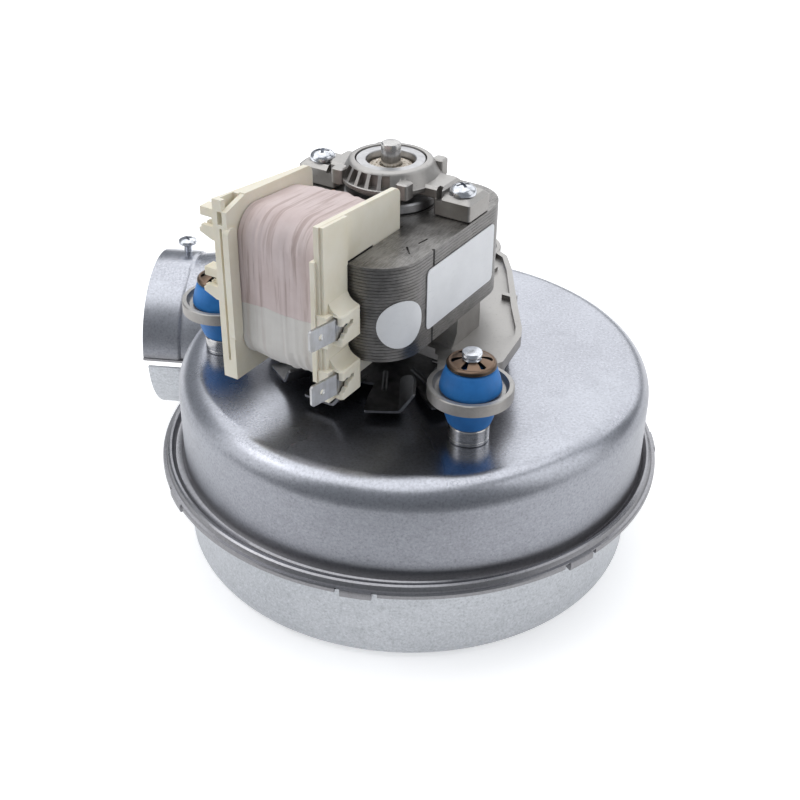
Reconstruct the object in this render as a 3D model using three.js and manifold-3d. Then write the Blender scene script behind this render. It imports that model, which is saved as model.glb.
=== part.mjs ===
// Boiler flue fan: shaded-pole motor on three rubber isolators over a round volute casing,
// with the centrifugal wheel inside and a tangential outlet spigot.
// Millimetres, +Z up. The base lies on z = 0, the outlet points along -X and the shaft is parallel to Z.
// Heights inside the two groups count from PAN_BOTTOM, which is how far the base hangs below their zero.
import * as THREE from 'three';
import { mergeVertices } from 'three/addons/utils/BufferGeometryUtils.js';
import Module from 'manifold-3d';

const wasm = await Module();
wasm.setup();

// ---- driving dimensions ----
const GAP = 0.3;
const SHEET = 1.0;
const CASING_TOP = 63.8;
const PAN_BOTTOM = -2.5;
const DOME_R = 77.8;
const DOME_SHIFT = 1.2;
const DOME_EDGE_R = 8.2;
const PAN_R = 76;
const PAN_EDGE_R = 5.5;
const FLANGE_R = 84;
const FLANGE_Z = 31;
const OUTLET_R = 30;
const OUTLET_Y = 62.5;
const OUTLET_Z = 31.2;
const OUTLET_END_X = -104.4;
const OUTLET_SLOT = 2.6;
const SCROLL_CENTRE = new THREE.Vector2(-38, 36);
const SCROLL_LESS = 23.8;
const INLET_R = 33;
const VOLUTE_STEPS = 36;
const SPIGOT_SCREW = new THREE.Vector2(OUTLET_END_X + 9.7, OUTLET_Y + 6.6);
const CRIMP_ANGLES = [-146, -94, -45, 5];

const SHAFT_X = -6.45;
const SHAFT_Y = -3.86;
const SHAFT_R = 3;
const SHAFT_TOP = 137.2;
const SHAFT_BOTTOM = 37;
const MOTOR_TURN = THREE.MathUtils.degToRad(65.2);

const STUD_CIRCLE_R = 53.5;
const STUD_CENTRE = new THREE.Vector2(-1, 1);
const STUD_ANGLES = [-120.2, 117, 1];
const SPACER_TOP = 69.2;
const RING_FLOOR = 78.8;
const RING_FLOOR_T = 2;
const RING_R = 12.75;
const BRACKET_RIM_TOP = 82.5;
const GROMMET_TOP = 88.6;
const PILLAR_IN = 19;
const PILLAR_OUT = 29.4;

const BOSS_TOP = 132.5;
const BOSS_BOTTOM = 126;
const CUP_BOTTOM = 124.2;
const FOOT_TOP = 126.4;
const FOOT_CHAMFER = 1.4;
const BOSS_RIBS = 5;
const BOSS_RIB_PITCH = 15;
const BOSS_RIB_STARTS = [-146.8, 33.2];

const CORE_BOTTOM = 90;
const CORE_TOP = 119.6;
const CORE_HALF = 30;
const CORE_BACK = 23.8;
const CORE_BACK_CORNER_R = 13.5;
const LEG_FRONT = -45;
const LEG_GAP = 32.8;
const LEFT_LEG_CORNER_R = 10.6;
const RIGHT_LEG_CORNER_R = 13.4;
const BORE_R = 15;
const SCREW_Y = 25;
const BAR_BACK = -32;

const COIL_Y = 2;
const COIL_FRONT = -58;
const COIL_BACK = -17.4;
const COIL_TOP = 135;
const COIL_DROP = 2.6;
const NEAR_FLANGE_BOTTOM = 81.6;
const FAR_FLANGE_BOTTOM = 78.7;
const FLANGE_T = 1.6;
const FLANGE_CORNER_R = 2.5;
const SPLAY = 3.2;
const POCKET_FLOOR = 127.5;
const CARRIER_Z = [82.3, 99.6];
const CARRIER_HEIGHT = 9.6;
const CARRIER_DEPTH = 5.6;
const TAB_LIFT = 2.2;
const TAB_HEIGHT = 6.5;
const TAB_LENGTH = 10;
const TAB_T = 0.8;
const TAB_Y = -19.7;
const TAB_BEND_X = -56;
const TAB_BEND_DEGREES = -10.8;

const WHEEL_R = 60;
const WHEEL_EYE_R = 36;
const WHEEL_BOTTOM = 12;
const WHEEL_TOP = 50;
const BLADE_COUNT = 12;
const BLADE_T = 1.0;

const FAN_R = 39.5;
const FAN_FLOOR = 66.6;
const FAN_SHEET = 0.8;
const FAN_BLADES = 12;
const FAN_PHASE = 30;

const NOSE_LABEL_TURN = 149;

// ---- solids ----
function outward(geometry) {
  // a closed mesh of shared corners, with its faces turned outwards
  geometry.deleteAttribute('normal');
  geometry.deleteAttribute('uv');
  const mesh = mergeVertices(geometry, 1e-4);
  const corners = mesh.getAttribute('position');
  const index = mesh.getIndex().array;
  const a = new THREE.Vector3();
  const b = new THREE.Vector3();
  const c = new THREE.Vector3();
  let volume = 0;
  for (let i = 0; i < index.length; i += 3) {
    a.fromBufferAttribute(corners, index[i]);
    b.fromBufferAttribute(corners, index[i + 1]);
    c.fromBufferAttribute(corners, index[i + 2]);
    volume += a.dot(b.cross(c));
  }
  if (volume < 0) {
    for (let i = 0; i < index.length; i += 3) {
      const kept = index[i];
      index[i] = index[i + 1];
      index[i + 1] = kept;
    }
  }
  return mesh;
}

function solid(geometry) {
  const mesh = outward(geometry);
  return new wasm.Manifold(new wasm.Mesh({
    numProp: 3,
    vertProperties: new Float32Array(mesh.getAttribute('position').array),
    triVerts: new Uint32Array(mesh.getIndex().array),
  }));
}

function joined(...pieces) {
  return pieces.reduce((sum, piece) => sum.add(piece));
}

function cut(body, ...tools) {
  return tools.reduce((rest, tool) => rest.subtract(tool), body);
}

function toGeometry(body) {
  const mesh = body.getMesh();
  const geometry = new THREE.BufferGeometry();
  geometry.setAttribute('position', new THREE.BufferAttribute(new Float32Array(mesh.vertProperties), 3));
  geometry.setIndex(new THREE.BufferAttribute(new Uint32Array(mesh.triVerts), 1));
  geometry.computeVertexNormals();
  return geometry;
}

function box(x0, x1, y0, y1, z0, z1) {
  const geometry = new THREE.BoxGeometry(x1 - x0, y1 - y0, z1 - z0);
  geometry.translate((x0 + x1) / 2, (y0 + y1) / 2, (z0 + z1) / 2);
  return solid(geometry);
}

function rod(radius, z0, z1, x = 0, y = 0, sides = 20, topRadius = radius) {
  const geometry = new THREE.CylinderGeometry(topRadius, radius, z1 - z0, sides);
  geometry.rotateX(Math.PI / 2);
  geometry.translate(x, y, (z0 + z1) / 2);
  return solid(geometry);
}

function rodAlongX(radius, x0, x1, y, z, sides = 40) {
  const geometry = new THREE.CylinderGeometry(radius, radius, x1 - x0, sides);
  geometry.rotateZ(Math.PI / 2);
  geometry.translate((x0 + x1) / 2, y, z);
  return solid(geometry);
}

function turned(profile, sides = 28, x = 0, y = 0) {
  // profile is a list of [radius, z] that is closed on itself, or starts and ends on the axis
  const points = profile.map(([r, z]) => new THREE.Vector2(r, z));
  if (profile[0][0] > 0) {
    points.push(points[0].clone());
  }
  const geometry = new THREE.LatheGeometry(points, sides);
  geometry.rotateX(Math.PI / 2);
  geometry.translate(x, y, 0);
  return solid(geometry);
}

function distinct(points) {
  // the corners of an outline, without any that repeat the one before
  return points.filter((point, i) => point.distanceTo(points[(i + 1) % points.length]) > 0.01);
}

function slab(shape, z0, z1, options = {}) {
  const { curveSegments = 8 } = options;
  const plain = new THREE.Shape(distinct(shape.getPoints(curveSegments)));
  const geometry = new THREE.ExtrudeGeometry(plain, { depth: z1 - z0, bevelEnabled: false, ...options });
  geometry.translate(0, 0, z0);
  return solid(geometry);
}

function outline(points) {
  return new THREE.Shape(points.map(([x, y]) => new THREE.Vector2(x, y)));
}

function roundedRectangle(x0, x1, y0, y1, radius) {
  const shape = new THREE.Shape();
  shape.moveTo(x0 + radius, y0);
  shape.lineTo(x1 - radius, y0);
  shape.absarc(x1 - radius, y0 + radius, radius, -Math.PI / 2, 0);
  shape.lineTo(x1, y1 - radius);
  shape.absarc(x1 - radius, y1 - radius, radius, 0, Math.PI / 2);
  shape.lineTo(x0 + radius, y1);
  shape.absarc(x0 + radius, y1 - radius, radius, Math.PI / 2, Math.PI);
  shape.lineTo(x0, y0 + radius);
  shape.absarc(x0 + radius, y0 + radius, radius, Math.PI, 1.5 * Math.PI);
  return shape;
}

function polar(radius, angle) {
  return [radius * Math.cos(angle), radius * Math.sin(angle)];
}

// ---- materials ----
function finish(color, roughness, metalness) {
  return () => new THREE.MeshStandardMaterial({ color, roughness, metalness });
}
const galvanised = finish(0xb4b8c2, 0.42, 0.85);
const dieCast = finish(0x9a958c, 0.5, 0.7);
const zinc = finish(0xc9cdd4, 0.25, 0.95);
const steel = finish(0xa9a7a4, 0.3, 0.95);
const lamination = finish(0x6f6a66, 0.45, 0.85);
const aluminium = finish(0x8f949a, 0.4, 0.85);
const copper = finish(0xb56a3c, 0.35, 0.95);
const ivory = finish(0xe6dfc4, 0.5, 0.0);
const tape = finish(0xcdbcbc, 0.8, 0.0);
const blueRubber = finish(0x2a78cc, 0.55, 0.0);
const springBronze = finish(0x6b5140, 0.4, 0.8);
const sintered = finish(0xa67c46, 0.6, 0.6);
const paper = finish(0xe8e9ec, 0.5, 0.0);
const felt = finish(0xcfc3ae, 0.95, 0.0);

const fan = new THREE.Group();
const casing = new THREE.Group();
const motor = new THREE.Group();
const casingX = -(OUTLET_END_X + FLANGE_R) / 2;
const casingBackY = SCROLL_CENTRE.y + FLANGE_R - SCROLL_LESS;
const casingY = -(casingBackY - FLANGE_R) / 2;
casing.position.set(casingX, casingY, -PAN_BOTTOM);
motor.position.set(casingX + SHAFT_X, casingY + SHAFT_Y, -PAN_BOTTOM);
motor.rotation.z = MOTOR_TURN;
fan.add(casing);
fan.add(motor);

function add(group, name, body, material) {
  const mesh = new THREE.Mesh(toGeometry(body), material());
  mesh.name = name;
  group.add(mesh);
}

// ---- casing ----
function volute(radius) {
  // a circle that opens on its outlet side into a second, smaller circle further out
  const scrollRadius = radius - SCROLL_LESS;
  const meet = SCROLL_CENTRE.angle() - Math.acos(SCROLL_LESS / SCROLL_CENTRE.length());
  const nearEnd = Math.PI - Math.asin((OUTLET_Y - OUTLET_R) / DOME_R) - 2 * Math.PI;
  const farEnd = THREE.MathUtils.degToRad(125);
  const arc = (centre, r, from, to, steps) => Array.from({ length: steps + 1 }, (_, i) => {
    const [x, y] = polar(r, from + ((to - from) * i) / steps);
    return new THREE.Vector2(centre.x + x, centre.y + y);
  });
  return [
    ...arc(new THREE.Vector2(0, 0), radius, nearEnd, meet, VOLUTE_STEPS),
    ...arc(SCROLL_CENTRE, scrollRadius, meet, farEnd, 5).slice(1),
  ];
}

function lofted(layers) {
  // a closed solid through outlines of equal point count, each at its own height, lowest first
  const count = layers[0].points.length;
  const corners = layers.flatMap(({ points, z }) => points.flatMap((point) => [point.x, point.y, z]));
  const faces = [];
  for (let layer = 0; layer < layers.length - 1; layer += 1) {
    for (let i = 0; i < count; i += 1) {
      const a = layer * count + i;
      const b = layer * count + ((i + 1) % count);
      faces.push(a, b, b + count, a, b + count, a + count);
    }
  }
  const lid = (layers.length - 1) * count;
  for (const [a, b, c] of THREE.ShapeUtils.triangulateShape(layers[0].points, [])) {
    faces.push(a, c, b);
    faces.push(lid + a, lid + b, lid + c);
  }
  const geometry = new THREE.BufferGeometry();
  geometry.setAttribute('position', new THREE.Float32BufferAttribute(corners, 3));
  geometry.setIndex(faces);
  return solid(geometry);
}

function volutePlate(radius, z0, z1) {
  const points = volute(radius);
  return lofted([{ points, z: z0 }, { points, z: z1 }]);
}

function domed(radius, edge, z0, z1) {
  // the volute outline with its top edge rounded over
  const steps = 4;
  const layers = [{ points: volute(radius), z: z0 }];
  for (let i = 0; i <= steps; i += 1) {
    const angle = (i / steps) * (Math.PI / 2);
    const inset = edge * (1 - Math.cos(angle));
    layers.push({ points: volute(radius - inset), z: z1 - edge * (1 - Math.sin(angle)) });
  }
  return lofted(layers);
}

function dished(radius, edge, z0, z1) {
  // the volute outline with its bottom edge rounded under
  const steps = 3;
  const layers = [];
  for (let i = steps; i >= 0; i -= 1) {
    const angle = (i / steps) * (Math.PI / 2);
    const inset = edge * (1 - Math.cos(angle));
    layers.push({ points: volute(radius - inset), z: z0 + edge * (1 - Math.sin(angle)) });
  }
  layers.push({ points: volute(radius), z: z1 });
  return lofted(layers);
}

const far = 200;
const split = OUTLET_Z + 1.2;
const bore = rodAlongX(OUTLET_R - SHEET, OUTLET_END_X - 5, -45, OUTLET_Y, OUTLET_Z);
const slotTool = box(OUTLET_END_X - 5, -73, 20, 110, split - OUTLET_SLOT, split);

function upperCasing() {
  const above = box(-far, far, -far, far, FLANGE_Z - 0.6, far);
  const below = -20;
  const sideways = [DOME_SHIFT, 0, 0];
  const shell = domed(DOME_R, DOME_EDGE_R, below, CASING_TOP).translate(sideways);
  const hollow = domed(DOME_R - SHEET, DOME_EDGE_R - SHEET, below, CASING_TOP - SHEET).translate(sideways);
  const spigot = rodAlongX(OUTLET_R, OUTLET_END_X, -60, OUTLET_Y, OUTLET_Z);
  const rim = joined(
    volutePlate(FLANGE_R, FLANGE_Z - 2, FLANGE_Z),
    volutePlate(FLANGE_R - 2, FLANGE_Z - 1, FLANGE_Z + 1.6),
  );
  const groove = cut(
    volutePlate(FLANGE_R - 4, FLANGE_Z + 1, FLANGE_Z + 5),
    volutePlate(DOME_R - 0.5, FLANGE_Z, FLANGE_Z + 6).translate(sideways),
  );
  const seat = volutePlate(FLANGE_R - SHEET, FLANGE_Z - 4, FLANGE_Z - 1);
  const inside = volutePlate(DOME_R - SHEET, FLANGE_Z - 5, FLANGE_Z + 5).translate(sideways);
  let body = joined(shell.intersect(above), spigot.intersect(above), cut(rim, groove, seat));
  const tubeRoom = box(OUTLET_END_X - 5, -60, OUTLET_Y - OUTLET_R - GAP, 120, 20, FLANGE_Z - 1);
  body = cut(body, hollow, inside, bore, slotTool, tubeRoom);
  body = cut(body, rod(6, 50, 70, SHAFT_X, SHAFT_Y));
  for (const [x, y] of studPlaces()) {
    const hole = new THREE.Vector2(x, y).rotateAround(new THREE.Vector2(0, 0), MOTOR_TURN);
    body = cut(body, rod(2.4, 50, 70, SHAFT_X + hole.x, SHAFT_Y + hole.y, 12));
  }
  body = cut(body, rod(1.6, 50, 70, SPIGOT_SCREW.x, SPIGOT_SCREW.y, 10));
  for (const angle of CRIMP_ANGLES) {
    const tab = box(FLANGE_R - 0.9, FLANGE_R, -4.5, 4.5, FLANGE_Z - 2.4, FLANGE_Z - 0.5);
    body = joined(body, tab.rotate([0, 0, angle]));
  }
  return body;
}

function studPlaces() {
  return STUD_ANGLES.map((degrees) => {
    const [x, y] = polar(STUD_CIRCLE_R, THREE.MathUtils.degToRad(degrees));
    return [STUD_CENTRE.x + x, STUD_CENTRE.y + y];
  });
}

function lowerCasing() {
  const top = FLANGE_Z - 1 - GAP;
  const below = box(-far, far, -far, far, -far, top);
  const shell = dished(PAN_R, PAN_EDGE_R, PAN_BOTTOM, 60);
  const hollow = dished(PAN_R - SHEET, PAN_EDGE_R - SHEET, PAN_BOTTOM + SHEET, 60);
  const spigot = rodAlongX(OUTLET_R, OUTLET_END_X + 1.5, -60, OUTLET_Y, OUTLET_Z);
  const rim = volutePlate(FLANGE_R - SHEET - GAP, top - SHEET, top);
  const inside = volutePlate(PAN_R - SHEET, top - 5, top + 5);
  let body = cut(joined(shell.intersect(below), spigot.intersect(below), rim), hollow, inside, bore, slotTool);
  body = cut(body, rod(INLET_R + 3, PAN_BOTTOM - 2, 4, SHAFT_X, SHAFT_Y, 36));
  const mouth = turned([
    [INLET_R + 4, PAN_BOTTOM],
    [INLET_R + 4, PAN_BOTTOM + SHEET],
    [INLET_R + 2.2, PAN_BOTTOM + 1.6],
    [INLET_R + 1.1, PAN_BOTTOM + 3.6],
    [INLET_R + 1, 9],
    [INLET_R, 9],
    [INLET_R, PAN_BOTTOM + 3.2],
    [INLET_R + 1.4, PAN_BOTTOM + 0.8],
    [INLET_R + 2.6, PAN_BOTTOM],
  ], 36, SHAFT_X, SHAFT_Y);
  body = joined(body, mouth);
  for (const angle of [30, 150, 270]) {
    const [x, y] = polar(52, THREE.MathUtils.degToRad(angle));
    body = cut(body, rod(1.9, PAN_BOTTOM - 2, 4, SHAFT_X + x, SHAFT_Y + y, 8));
  }
  return body;
}

add(casing, 'upper_casing', upperCasing(), galvanised);
add(casing, 'lower_casing', lowerCasing(), galvanised);

function spigotScrew() {
  const crest = OUTLET_Z + Math.sqrt(OUTLET_R ** 2 - (SPIGOT_SCREW.y - OUTLET_Y) ** 2);
  return turned([
    [0, crest - 4],
    [1.3, crest - 3],
    [1.3, crest + 3.7],
    [3.65, crest + 4],
    [3.5, crest + 5],
    [2.4, crest + 5.7],
    [0, crest + 5.9],
  ], 12, SPIGOT_SCREW.x, SPIGOT_SCREW.y);
}
add(casing, 'spigot_screw', spigotScrew(), zinc);

// ---- isolators: stud, spacer, rubber grommet and star clip, three times ----
function stud(x, y) {
  const inner = CASING_TOP - SHEET - GAP;
  return turned([
    [0, inner - 1.8],
    [4.5, inner - 1.8],
    [4.5, inner],
    [2, inner],
    [2, GROMMET_TOP + 2.7],
    [2.9, GROMMET_TOP + 3],
    [2.8, GROMMET_TOP + 4.2],
    [1.8, GROMMET_TOP + 4.8],
    [0, GROMMET_TOP + 5],
  ], 12, x, y);
}

function spacer(x, y) {
  return turned([
    [2.3, CASING_TOP + 0.1],
    [6.15, CASING_TOP + 0.1],
    [6.15, SPACER_TOP],
    [2.3, SPACER_TOP],
  ], 16, x, y);
}

function grommet(x, y) {
  const floorTop = RING_FLOOR + RING_FLOOR_T;
  return turned([
    [2.3, SPACER_TOP + 0.1],
    [5.9, SPACER_TOP + 0.1],
    [6.6, SPACER_TOP + 0.9],
    [8.3, RING_FLOOR - 1],
    [7.6, RING_FLOOR - 0.1],
    [6.2, RING_FLOOR - 0.1],
    [6.2, floorTop + 0.1],
    [8.8, floorTop + 0.1],
    [9.2, floorTop + 1.1],
    [7.1, GROMMET_TOP - 0.6],
    [6.6, GROMMET_TOP],
    [2.3, GROMMET_TOP],
  ], 16, x, y);
}

function clip(x, y) {
  return turned([
    [2.3, GROMMET_TOP + 1.2],
    [5.6, GROMMET_TOP + 0.9],
    [6.7, GROMMET_TOP + 0.2],
    [7.3, GROMMET_TOP + 0.2],
    [7.2, GROMMET_TOP + 1.2],
    [6.2, GROMMET_TOP + 2.1],
    [2.3, GROMMET_TOP + 2.6],
  ], 16, x, y);
}

studPlaces().forEach(([x, y], i) => {
  add(motor, `stud_${i + 1}`, stud(x, y), zinc);
  add(motor, `spacer_${i + 1}`, spacer(x, y), zinc);
  add(motor, `grommet_${i + 1}`, grommet(x, y), blueRubber);
  add(motor, `clip_${i + 1}`, clip(x, y), springBronze);
});

// ---- lower bracket: a die-cast tray with three rings, two pillars and the lower bearing seat ----
function bracketOutline(inset) {
  // half of the tray's outline mirrored across the line through the middle, then pulled in
  const half = [
    [57, 8.2],
    [52.6, 17],
    [44.3, 23.2],
    [21, 37.5],
    [9.3, 45],
    [4.8, 47],
    [-12, 49.5],
    [-34, 39],
    [-16.6, 30],
    [-14.8, 12],
  ];
  const middle = new THREE.Vector2(2.6, 2.2);
  const whole = [
    ...half.map(([x, y]) => [x, middle.y - y]),
    ...half.reverse().map(([x, y]) => [x, middle.y + y]),
  ];
  return outline(whole.map(([x, y]) => {
    const length = Math.hypot(x - middle.x, y - middle.y);
    const shrink = (length - inset) / length;
    return [middle.x + (x - middle.x) * shrink, middle.y + (y - middle.y) * shrink];
  }));
}

function lowerBracket() {
  const floorTop = RING_FLOOR + RING_FLOOR_T;
  const tray = cut(
    slab(bracketOutline(0), RING_FLOOR, BRACKET_RIM_TOP),
    slab(bracketOutline(2), floorTop, BRACKET_RIM_TOP + 5),
  );
  let body = tray;
  for (const [x, y] of studPlaces()) {
    body = cut(body, rod(RING_R - 0.1, 70, 100, x, y, 20));
    body = joined(body, turned([
      [6.5, RING_FLOOR],
      [RING_R, RING_FLOOR],
      [RING_R, BRACKET_RIM_TOP],
      [RING_R - 1.6, BRACKET_RIM_TOP],
      [RING_R - 1.6, floorTop],
      [6.5, floorTop],
    ], 20, x, y));
  }
  for (const side of [-1, 1]) {
    const y0 = side > 0 ? PILLAR_IN : -PILLAR_OUT;
    const pillar = box(-8, 6, y0, y0 + PILLAR_OUT - PILLAR_IN, floorTop - 1, CORE_BOTTOM - 0.1);
    body = joined(body, pillar);
    body = cut(body, rod(1.7, RING_FLOOR + 1, 100, 0, side * SCREW_Y, 10));
  }
  body = cut(body, rod(13, 70, 100));
  return joined(body, turned([
    [4, RING_FLOOR],
    [14, RING_FLOOR],
    [13.4, 85.8],
    [9.7, 85.8],
    [9.7, 80.8],
    [4, 80.8],
  ], 24));
}
add(motor, 'lower_bracket', lowerBracket(), dieCast);

function bearing(z0, z1) {
  // self-aligning sintered bearing with a barrel-shaped outside
  const middle = (z0 + z1) / 2;
  return turned([
    [SHAFT_R + 0.05, z0],
    [5.4, z0],
    [7.0, middle - 1],
    [7.0, middle + 1],
    [5.4, z1],
    [SHAFT_R + 0.05, z1],
  ], 20);
}

function bearingRetainer(z0, z1, outer) {
  // pressed steel ring that holds the bearing in its seat
  return turned([
    [7.3, z0],
    [outer, z0],
    [outer, z1],
    [7.6, z1],
  ], 20);
}

function oilFelt(z0, z1) {
  return turned([
    [SHAFT_R + 0.3, z0],
    [6.6, z0],
    [6.6, z1],
    [SHAFT_R + 0.3, z1],
  ], 20);
}

add(motor, 'lower_bearing', bearing(81.1, 85.6), sintered);
add(motor, 'lower_bearing_retainer', bearingRetainer(81.1, 85.4, 9.5), steel);

// ---- upper bracket: ribbed bearing boss on two arms with chamfered feet ----
function upperBracket() {
  const core = CORE_TOP + 0.1;
  let body = turned([
    [0, CUP_BOTTOM],
    [12.6, CUP_BOTTOM],
    [12.8, BOSS_BOTTOM],
    [15.2, BOSS_BOTTOM],
    [15.4, BOSS_BOTTOM + 1.8],
    [12.7, BOSS_TOP - 0.5],
    [12.2, BOSS_TOP],
    [0, BOSS_TOP],
  ], 24);
  for (const start of BOSS_RIB_STARTS) {
    for (let i = 0; i < BOSS_RIBS; i += 1) {
      const rib = box(12, 15.3, -0.7, 0.7, BOSS_BOTTOM + 0.6, BOSS_TOP - 1.6);
      body = joined(body, rib.rotate([0, 0, start - i * BOSS_RIB_PITCH]));
    }
  }
  for (const side of [-1, 1]) {
    const foot = slab(
      roundedRectangle(-4.5, 8, side > 0 ? 17.5 : -29.9, side > 0 ? 31.2 : -17.5, FOOT_CHAMFER + 0.1),
      core + FOOT_CHAMFER,
      FOOT_TOP - FOOT_CHAMFER,
      {
        bevelEnabled: true,
        bevelThickness: FOOT_CHAMFER,
        bevelSize: FOOT_CHAMFER,
        bevelOffset: -FOOT_CHAMFER,
        bevelSegments: 1,
        curveSegments: 1,
      },
    );
    const arm = box(-4.4, 7, side > 0 ? 9 : -20.5, side > 0 ? 20.5 : -9, CUP_BOTTOM + 0.6, 128.4);
    const lug = box(-12.5, -8.7, side > 0 ? 9.3 : -13.1, side > 0 ? 13.1 : -9.3, BOSS_BOTTOM - 0.2, 130.5);
    const post = box(9, 13, side > 0 ? 8.5 : -12.5, side > 0 ? 12.5 : -8.5, BOSS_BOTTOM - 0.2, 131);
    body = joined(body, foot, arm, lug, post);
    body = cut(body, rod(2.3, 110, 140, 0, side * SCREW_Y, 12));
  }
  return cut(body, rod(10.9, CUP_BOTTOM + 1, 140, 0, 0, 28), rod(4.2, 110, 140, 0, 0, 16));
}
add(motor, 'upper_bracket', upperBracket(), dieCast);
add(motor, 'upper_bearing', bearing(125.4, 129.6), sintered);
add(motor, 'upper_bearing_retainer', bearingRetainer(125.5, BOSS_TOP - 0.3, 10.6), steel);
add(motor, 'oil_felt', oilFelt(129.8, 130.6), felt);

function motorScrew(side) {
  // pan head over the foot, shank down through the core into the lower bracket's pillar
  return turned([
    [0, 82.2],
    [1.5, 82.2],
    [1.5, CORE_BOTTOM + 0.2],
    [1.9, CORE_BOTTOM + 0.6],
    [1.9, FOOT_TOP + 0.1],
    [4, FOOT_TOP + 0.1],
    [4, FOOT_TOP + 1.3],
    [3.2, FOOT_TOP + 2.3],
    [1.6, FOOT_TOP + 2.8],
    [0, FOOT_TOP + 2.9],
  ], 14, 0, side * SCREW_Y);
}
add(motor, 'motor_screw_left', motorScrew(1), zinc);
add(motor, 'motor_screw_right', motorScrew(-1), zinc);

// ---- stator: laminated frame with two legs, and the bar that closes it through the coil ----
function coreOutline() {
  const back = CORE_BACK_CORNER_R;
  const left = LEFT_LEG_CORNER_R;
  const right = RIGHT_LEG_CORNER_R;
  const shape = new THREE.Shape();
  shape.moveTo(COIL_BACK + 1.2, COIL_Y + LEG_GAP / 2);
  shape.lineTo(LEG_FRONT, COIL_Y + LEG_GAP / 2);
  shape.absarc(LEG_FRONT + left, CORE_HALF - left, left, Math.PI, Math.PI / 2, true);
  shape.lineTo(CORE_BACK - back, CORE_HALF);
  shape.absarc(CORE_BACK - back, CORE_HALF - back, back, Math.PI / 2, 0, true);
  shape.lineTo(CORE_BACK, -CORE_HALF + back);
  shape.absarc(CORE_BACK - back, -CORE_HALF + back, back, 0, -Math.PI / 2, true);
  shape.lineTo(LEG_FRONT + right, -CORE_HALF);
  shape.absarc(LEG_FRONT + right, -CORE_HALF + right, right, -Math.PI / 2, -Math.PI, true);
  shape.lineTo(LEG_FRONT, COIL_Y - LEG_GAP / 2);
  shape.lineTo(COIL_BACK + 1.2, COIL_Y - LEG_GAP / 2);
  shape.closePath();
  return shape;
}

const SHADE_R = 17.6;
const SHADE_WIRE_R = 1.2;
const SHADE_OVERHANG = 2.2;
const SHADE_ANGLES = [[118, 144], [-62, -36]];

function statorCore() {
  let body = slab(coreOutline(), CORE_BOTTOM, CORE_TOP, { curveSegments: 8 });
  body = cut(body, rod(BORE_R, 80, 130, 0, 0, 32));
  for (const side of [-1, 1]) {
    body = cut(body, rod(2.3, 80, 130, 0, side * SCREW_Y, 12));
  }
  for (const angle of SHADE_ANGLES.flat()) {
    const [x, y] = polar(SHADE_R, THREE.MathUtils.degToRad(angle));
    body = cut(body, rod(SHADE_WIRE_R + 0.3, 80, 130, x, y, 8));
  }
  return body;
}
add(motor, 'stator_core', statorCore(), lamination);
const BAR_HALF = LEG_GAP / 2 - GAP;
const coilBar = box(LEG_FRONT - 1, BAR_BACK, COIL_Y - BAR_HALF, COIL_Y + BAR_HALF, CORE_BOTTOM, CORE_TOP);
add(motor, 'coil_bar', coilBar, lamination);

function shadingRing([from, to]) {
  // one closed turn of heavy copper round the tip of a pole
  const start = new THREE.Vector2(...polar(SHADE_R, THREE.MathUtils.degToRad(from)));
  const end = new THREE.Vector2(...polar(SHADE_R, THREE.MathUtils.degToRad(to)));
  const span = start.distanceTo(end);
  const half = SHADE_WIRE_R / 2;
  const low = CORE_BOTTOM - SHADE_OVERHANG;
  const high = CORE_TOP + SHADE_OVERHANG;
  const loop = roundedRectangle(-half, span + half, low, high, 1.5);
  const window = roundedRectangle(half, span - half, low + 1.9, high - 1.9, 0.6);
  loop.holes.push(new THREE.Path(window.getPoints(2)));
  const wire = new THREE.ExtrudeGeometry(loop, { depth: 1.6, bevelEnabled: false, curveSegments: 2 });
  wire.translate(0, 0, -0.8);
  wire.rotateX(Math.PI / 2);
  wire.rotateZ(end.clone().sub(start).angle());
  wire.translate(start.x, start.y, 0);
  return solid(wire);
}

// ---- coil: moulded bobbin, winding, outer tape and two spade terminals ----
const TUBE_X0 = LEG_FRONT - 2.5;
const TUBE_X1 = BAR_BACK + 1.5;
const TUBE_Z0 = CORE_BOTTOM - 1.5;
const TUBE_Z1 = CORE_TOP + 1.5;
const FLANGE_IN = BAR_HALF - FLANGE_T;
const CORE_MIDDLE = (CORE_BOTTOM + CORE_TOP) / 2;

function upright(shape, y0, y1, curveSegments = 3) {
  // a plate whose outline lies in the XZ plane, thick along Y
  const geometry = new THREE.ExtrudeGeometry(shape, { depth: y1 - y0, bevelEnabled: false, curveSegments });
  geometry.rotateX(Math.PI / 2);
  geometry.translate(0, y1, 0);
  return geometry;
}

function falling(shape, divisions) {
  // the same outline with its upper half let down by COIL_DROP from the coil's front to its back
  const points = shape.getPoints(divisions).map((point) => {
    const back = (point.x - COIL_FRONT) / (COIL_BACK - COIL_FRONT);
    return new THREE.Vector2(point.x, point.y - (point.y > CORE_MIDDLE ? back * COIL_DROP : 0));
  });
  return new THREE.Shape(distinct(points));
}

function flange(bottom) {
  // square corners in front and rounded ones at the back
  const shape = new THREE.Shape();
  shape.moveTo(COIL_FRONT, bottom);
  shape.lineTo(COIL_BACK - FLANGE_CORNER_R, bottom);
  shape.absarc(COIL_BACK - FLANGE_CORNER_R, bottom + FLANGE_CORNER_R, FLANGE_CORNER_R, -Math.PI / 2, 0);
  shape.absarc(COIL_BACK - FLANGE_CORNER_R, COIL_TOP - FLANGE_CORNER_R, FLANGE_CORNER_R, 0, Math.PI / 2);
  shape.lineTo(COIL_FRONT, COIL_TOP);
  return falling(shape, 3);
}

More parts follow.
